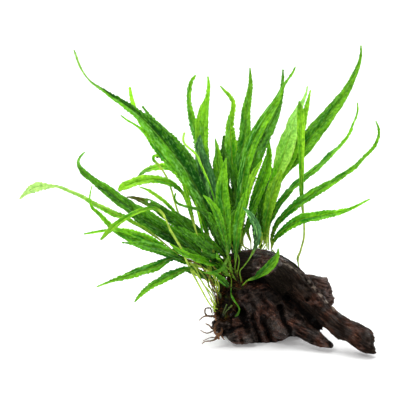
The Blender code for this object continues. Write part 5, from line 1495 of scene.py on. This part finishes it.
def paint_wood(mesh, height, grain, limb):
    """Tints the wood by its height and limbs, with painted shade in hollows and furrows and painted
    highlights along edges and on the grain, and marks the run of its grain and where it is damp.
    """
    places, normals = read_mesh(mesh)
    x, y, _ = places.T / MM
    seen = to_front(places)
    on_arm, on_front = limb == ARM, seen[:, 2] < FRONT_ONLY
    slab = on_arm * smooth_step(-x, -46, -16)
    stub = (limb == STUB) * smooth_step(x, 49, 56) * smooth_step(y, 1, 8)
    # painted shade: the front view's furrows darken the tint
    furrow_shade = np.clip(relief(seen[:, :2]) * seen_weight(seen, normals), -6, 3)
    fibre = grain_noise(grain, 15, 1.2, 84) + 0.5 * grain_noise(grain, 6, 0.9, 85)
    # low places and furrows are painted with shade, towards the near-black colour; noise and fibre add the
    # grain
    share = height + 0.45 * furrow_shade + 0.5 * body_noise(places, 5, 80) + 0.9 * fibre
    share = smooth_step(share, -1.3, 2.6)
    share = share + ARM_CALM * on_arm * (ARM_SHARE - share)
    red = smooth_step(body_noise(places, 11, 81, octaves=2), -0.2, 0.5) * share
    # painted highlights: pale silvery rims along the upper edges, and glints on high places of the grain
    painted_highlight = sum(np.exp(-(distance_to_route(seen[:, :2], route) / half) ** 2) for route, half in PAINTED_RIM_HIGHLIGHTS)
    painted_highlight = painted_highlight * smooth_step(body_noise(places, 4, 83), -0.3, 0.4) * on_front
    glint = grain_noise(grain, 4, 1.0, 86) + 0.3 * body_noise(places, 9, 87)
    painted_highlight = np.maximum(painted_highlight, 0.35 * smooth_step(glint, 0.55, 0.95) * share * (1 - slab))
    tint = mixed(rgb(WOOD_SHADE_AND_DARK_GRAIN), rgb(WOOD_BROWN), share)
    tint = mixed(tint, rgb(WOOD_RED), 0.7 * red * (1 - slab))
    tint = mixed(tint, rgb(WOOD_SLAB), 0.8 * slab)
    tint = mixed(tint, rgb(WOOD_DUSTY) * (0.5 + 0.7 * share[:, None]), 0.85 * stub)
    set_tint(mesh, mixed(tint, rgb(WOOD_PAINTED_HIGHLIGHT), 0.65 * painted_highlight))
    damp = 0.9 * share + 0.5 * body_noise(places, 5, 82)
    damp = damp * (1 - 0.9 * stub) * (1 - 0.8 * slab) * (1 - 0.4 * on_arm)
    add_layer(mesh, "grain", "FLOAT_VECTOR", "vector", grain * STREAKS)
    add_layer(mesh, "damp", "FLOAT", "value", np.clip(damp, 0, 1))


def make_driftwood():
    tables = [SLAB_AND_ARM, SHORT_PRONG, BACK_STUB, LEFT_SNAG, *LOBES]
    limbs = [limb_rings(table) for table in tables] + [limb_rings(STUMP, upright=True)]
    mesh = remeshed(limb_heap(limbs), WOOD_DRAFT_GRID)
    sculpt(mesh)
    mesh = remeshed(mesh, WOOD_GRID)
    height, grain, limb = weather(mesh, limbs)
    settle_on_floor(mesh)
    paint_wood(mesh, height, grain, limb)
    new_piece("driftwood", mesh, wood_material(), ["driftwood_trunk", *LIMBS])


# ---- rhizomes and roots ----
def add_hair(heap, line, radii, dark, share):
    """One hair above the floor, of a colour between a dark one and that of fresh roots."""
    line[:, 2] = np.maximum(line[:, 2], HAIR_FLOOR * MM)
    places, faces = strand(line, np.array(radii) * MM, HAIR_SIDES)
    heap.add(places, faces, mixed(rgb(dark), rgb(ROOT_LIGHT), share))


def add_rhizome_hairs(heap, route, count, seed):
    """Short brown root hairs all round a rhizome."""
    random = np.random.default_rng(seed)
    tangent = unit(np.gradient(route, axis=0))
    steps = np.linspace(0, 1, len(HAIR_RADII))[:, None]
    for _ in range(count):
        k = random.integers(2, len(route) - 2)
        out = random.normal(size=3)
        out = unit(out - tangent[k] * (out @ tangent[k]))
        start = route[k] + out * RHIZOME_RADIUS * MM * 0.8
        bend = unit(random.normal(size=3)) * 0.7 + tangent[k] * 0.3
        length = random.uniform(1.6, 4.6) * MM
        line = start + out * length * steps * (1 - 0.4 * steps) + bend * length * 0.6 * steps**2
        add_hair(heap, line, HAIR_RADII, ROOT_DARK, random.uniform(0, 0.8))


def make_rhizomes():
    material = fibre_material("rhizome_skin", 0.55, 0.03, 0.05)
    for number, (name, points) in enumerate(RHIZOMES.items()):
        route = from_front(smooth_line(points, RHIZOME_PLACES))
        lumps = 1 + 0.14 * noise(np.arange(RHIZOME_PLACES) / 5.0, number * 4.0)
        radii = rounded(FINE_RHIZOME_RADIUS[name] * MM * lumps, 0.5, 0.8, 0.95)
        places, faces = strand(route, radii, RHIZOME_SIDES)
        share = 0.5 + 0.8 * body_noise(places, 4, number + 24)
        places = swollen(places, route, RHIZOME_SIDES, 0.22 * body_noise(places, 1.6, number + 20))
        heap = Heap()
        heap.add(places, faces, mixed(rgb(RHIZOME_GREEN), rgb(RHIZOME_BROWN), share))
        add_rhizome_hairs(heap, route, HAIRS[name], HAIR_SEED + number)
        new_piece("grown_" + name, heap.mesh(name), material, [name])


def add_mat_hairs(heap, route, radii):
    """Old roots that stand out of the dark mat every way."""
    random = np.random.default_rng(MAT_SEED)
    steps = np.linspace(0, 1, len(MAT_HAIR_RADII))[:, None]
    for _ in range(MAT_HAIRS):
        k = random.integers(2, MAT_PLACES - 2)
        out = unit(random.normal(size=3))
        start = route[k] + out * radii[k] * 0.9
        bend = unit(random.normal(size=3))
        length = random.uniform(2.0, 7.0) * MM
        line = start + out * length * 0.5 * steps + bend * length * steps**2
        thick = np.array(MAT_HAIR_RADII) * random.uniform(0.7, 1.5)
        add_hair(heap, line, thick, RHIZOME_BROWN, random.uniform(0, 0.5))


def make_root_mat():
    """The dark mat of old roots that fills the hollow beside the left rhizome."""
    table = smooth_line(np.array([(*middle, radius) for middle, radius in ROOT_MAT]), MAT_PLACES)
    route = from_front(table[:, :3])
    radii = rounded(table[:, 3] * MM, 0.4, 0.7, 0.9)
    places, faces = strand(route, radii, MAT_SIDES)
    moss = body_noise(places, 5, 31) + 0.6 * body_noise(places, 1.6, 32)
    places = swollen(places, route, MAT_SIDES, 0.28 * body_noise(places, 4, 30, octaves=3))
    heap = Heap()
    heap.add(places, faces, mixed(rgb(MAT_DARK), rgb(MAT_GREEN), moss))
    add_mat_hairs(heap, route, radii)
    new_piece("root_mat", heap.mesh("root_mat"), fibre_material("root_mat", 0.6, 0.03, 0.05), [])


def make_strands(name, strands, colours, material, sides, seed):
    """One piece of strands, each as its points and the radius at each end."""
    heap = Heap()
    for number, (points, first, last) in enumerate(strands):
        share = np.linspace(0, 1, STRAND_PLACES)
        route = from_front(smooth_line(points, STRAND_PLACES))
        axes = np.arange(3) * 9.0
        wobble = noise(np.arange(STRAND_PLACES)[:, None] * 0.35, axes, number * 5.0 + seed)
        route += wobble * 0.5 * MM * share[:, None]
        radii = np.linspace(first, last, STRAND_PLACES) * MM
        places, faces = strand(route, radii, sides, 0.3, seed + number)
        share = np.concatenate([np.repeat(share, sides), [0, 1]])
        share += 0.3 * noise(places[:, 0] * 900, places[:, 2] * 900)
        heap.add(places, faces, mixed(rgb(colours[0]), rgb(colours[1]), share))
    new_piece(name, heap.mesh(name), material, [])


def make_roots():
    make_strands("holdfast_roots", ROOT_STRANDS, (ROOT_DARK, ROOT_LIGHT),
                 fibre_material("root_skin", 0.5, 0.2), sides=7, seed=3)


def make_shoots():
    make_strands("young_shoots", SHOOTS, (SHOOT_DARK, SHOOT_LIGHT),
                 fibre_material("shoot_skin", 0.4, 0.3), sides=9, seed=8)


# ---- the picture: floor, light and camera, in metres ----
def make_floor():
    """A pale sheet that runs under the plant and curves up behind it."""
    bend = np.linspace(0, math.pi / 2, 13)
    curve = [(FLOOR_BACK + FLOOR_BEND * math.sin(a), FLOOR_BEND * (1 - math.cos(a))) for a in bend]
    profile = [(-FLOOR_REACH, 0.0), *curve, (FLOOR_BACK + FLOOR_BEND, FLOOR_TOP)]
    places = [(x, y, z) for y, z in profile for x in (-FLOOR_HALF, FLOOR_HALF)]
    faces = [(2 * k, 2 * k + 1, 2 * k + 3, 2 * k + 2) for k in range(len(profile) - 1)]
    mesh = bpy.data.meshes.new("floor")
    mesh.from_pydata(places, [], faces)
    mesh.materials.append(paper_material("pale_floor", 0.86, 0.875))
    mesh.shade_smooth()
    floor = bpy.data.objects.new("floor", mesh)
    bpy.context.scene.collection.objects.link(floor)


def make_light():
    """A white world, and square lights: place, what it points at, size in metres and power in watts."""
    world = bpy.data.worlds.new("studio")
    world.use_nodes = True
    set_inputs(world.node_tree, world.node_tree.nodes["Background"],
               {"Color": (1, 1, 1, 1), "Strength": WORLD_LIGHT})
    bpy.context.scene.world = world
    for name, place, target, size, power in LIGHTS:
        data = bpy.data.lights.new(name, "AREA")
        data.shape, data.size, data.energy = "SQUARE", size, power
        light = bpy.data.objects.new(name, data)
        light.location = place
        light.rotation_euler = (Vector(target) - Vector(place)).to_track_quat("-Z", "Y").to_euler()
        bpy.context.scene.collection.objects.link(light)


def make_camera():
    """The camera at the photo's place, and colours shown as they are."""
    data = bpy.data.cameras.new("camera")
    data.sensor_width, data.lens = SENSOR_WIDTH, LENS
    camera = bpy.data.objects.new("camera", data)
    pitch = math.radians(VIEW_PITCH)
    back = Vector((0, -math.cos(pitch), math.sin(pitch))) * VIEW_DISTANCE * MM
    camera.location = Vector(VIEW_CENTRE) * MM + back
    camera.rotation_euler = (math.pi / 2 - pitch, 0, 0)
    bpy.context.scene.collection.objects.link(camera)
    bpy.context.scene.camera = camera
    bpy.context.scene.view_settings.view_transform = "Standard"


make_camera()
make_light()
make_floor()
make_driftwood()
make_rhizomes()
make_root_mat()
make_roots()
make_shoots()
leaf_materials = make_leaf_materials()
make_fronds(leaf_materials)
make_inner_fronds(leaf_materials)
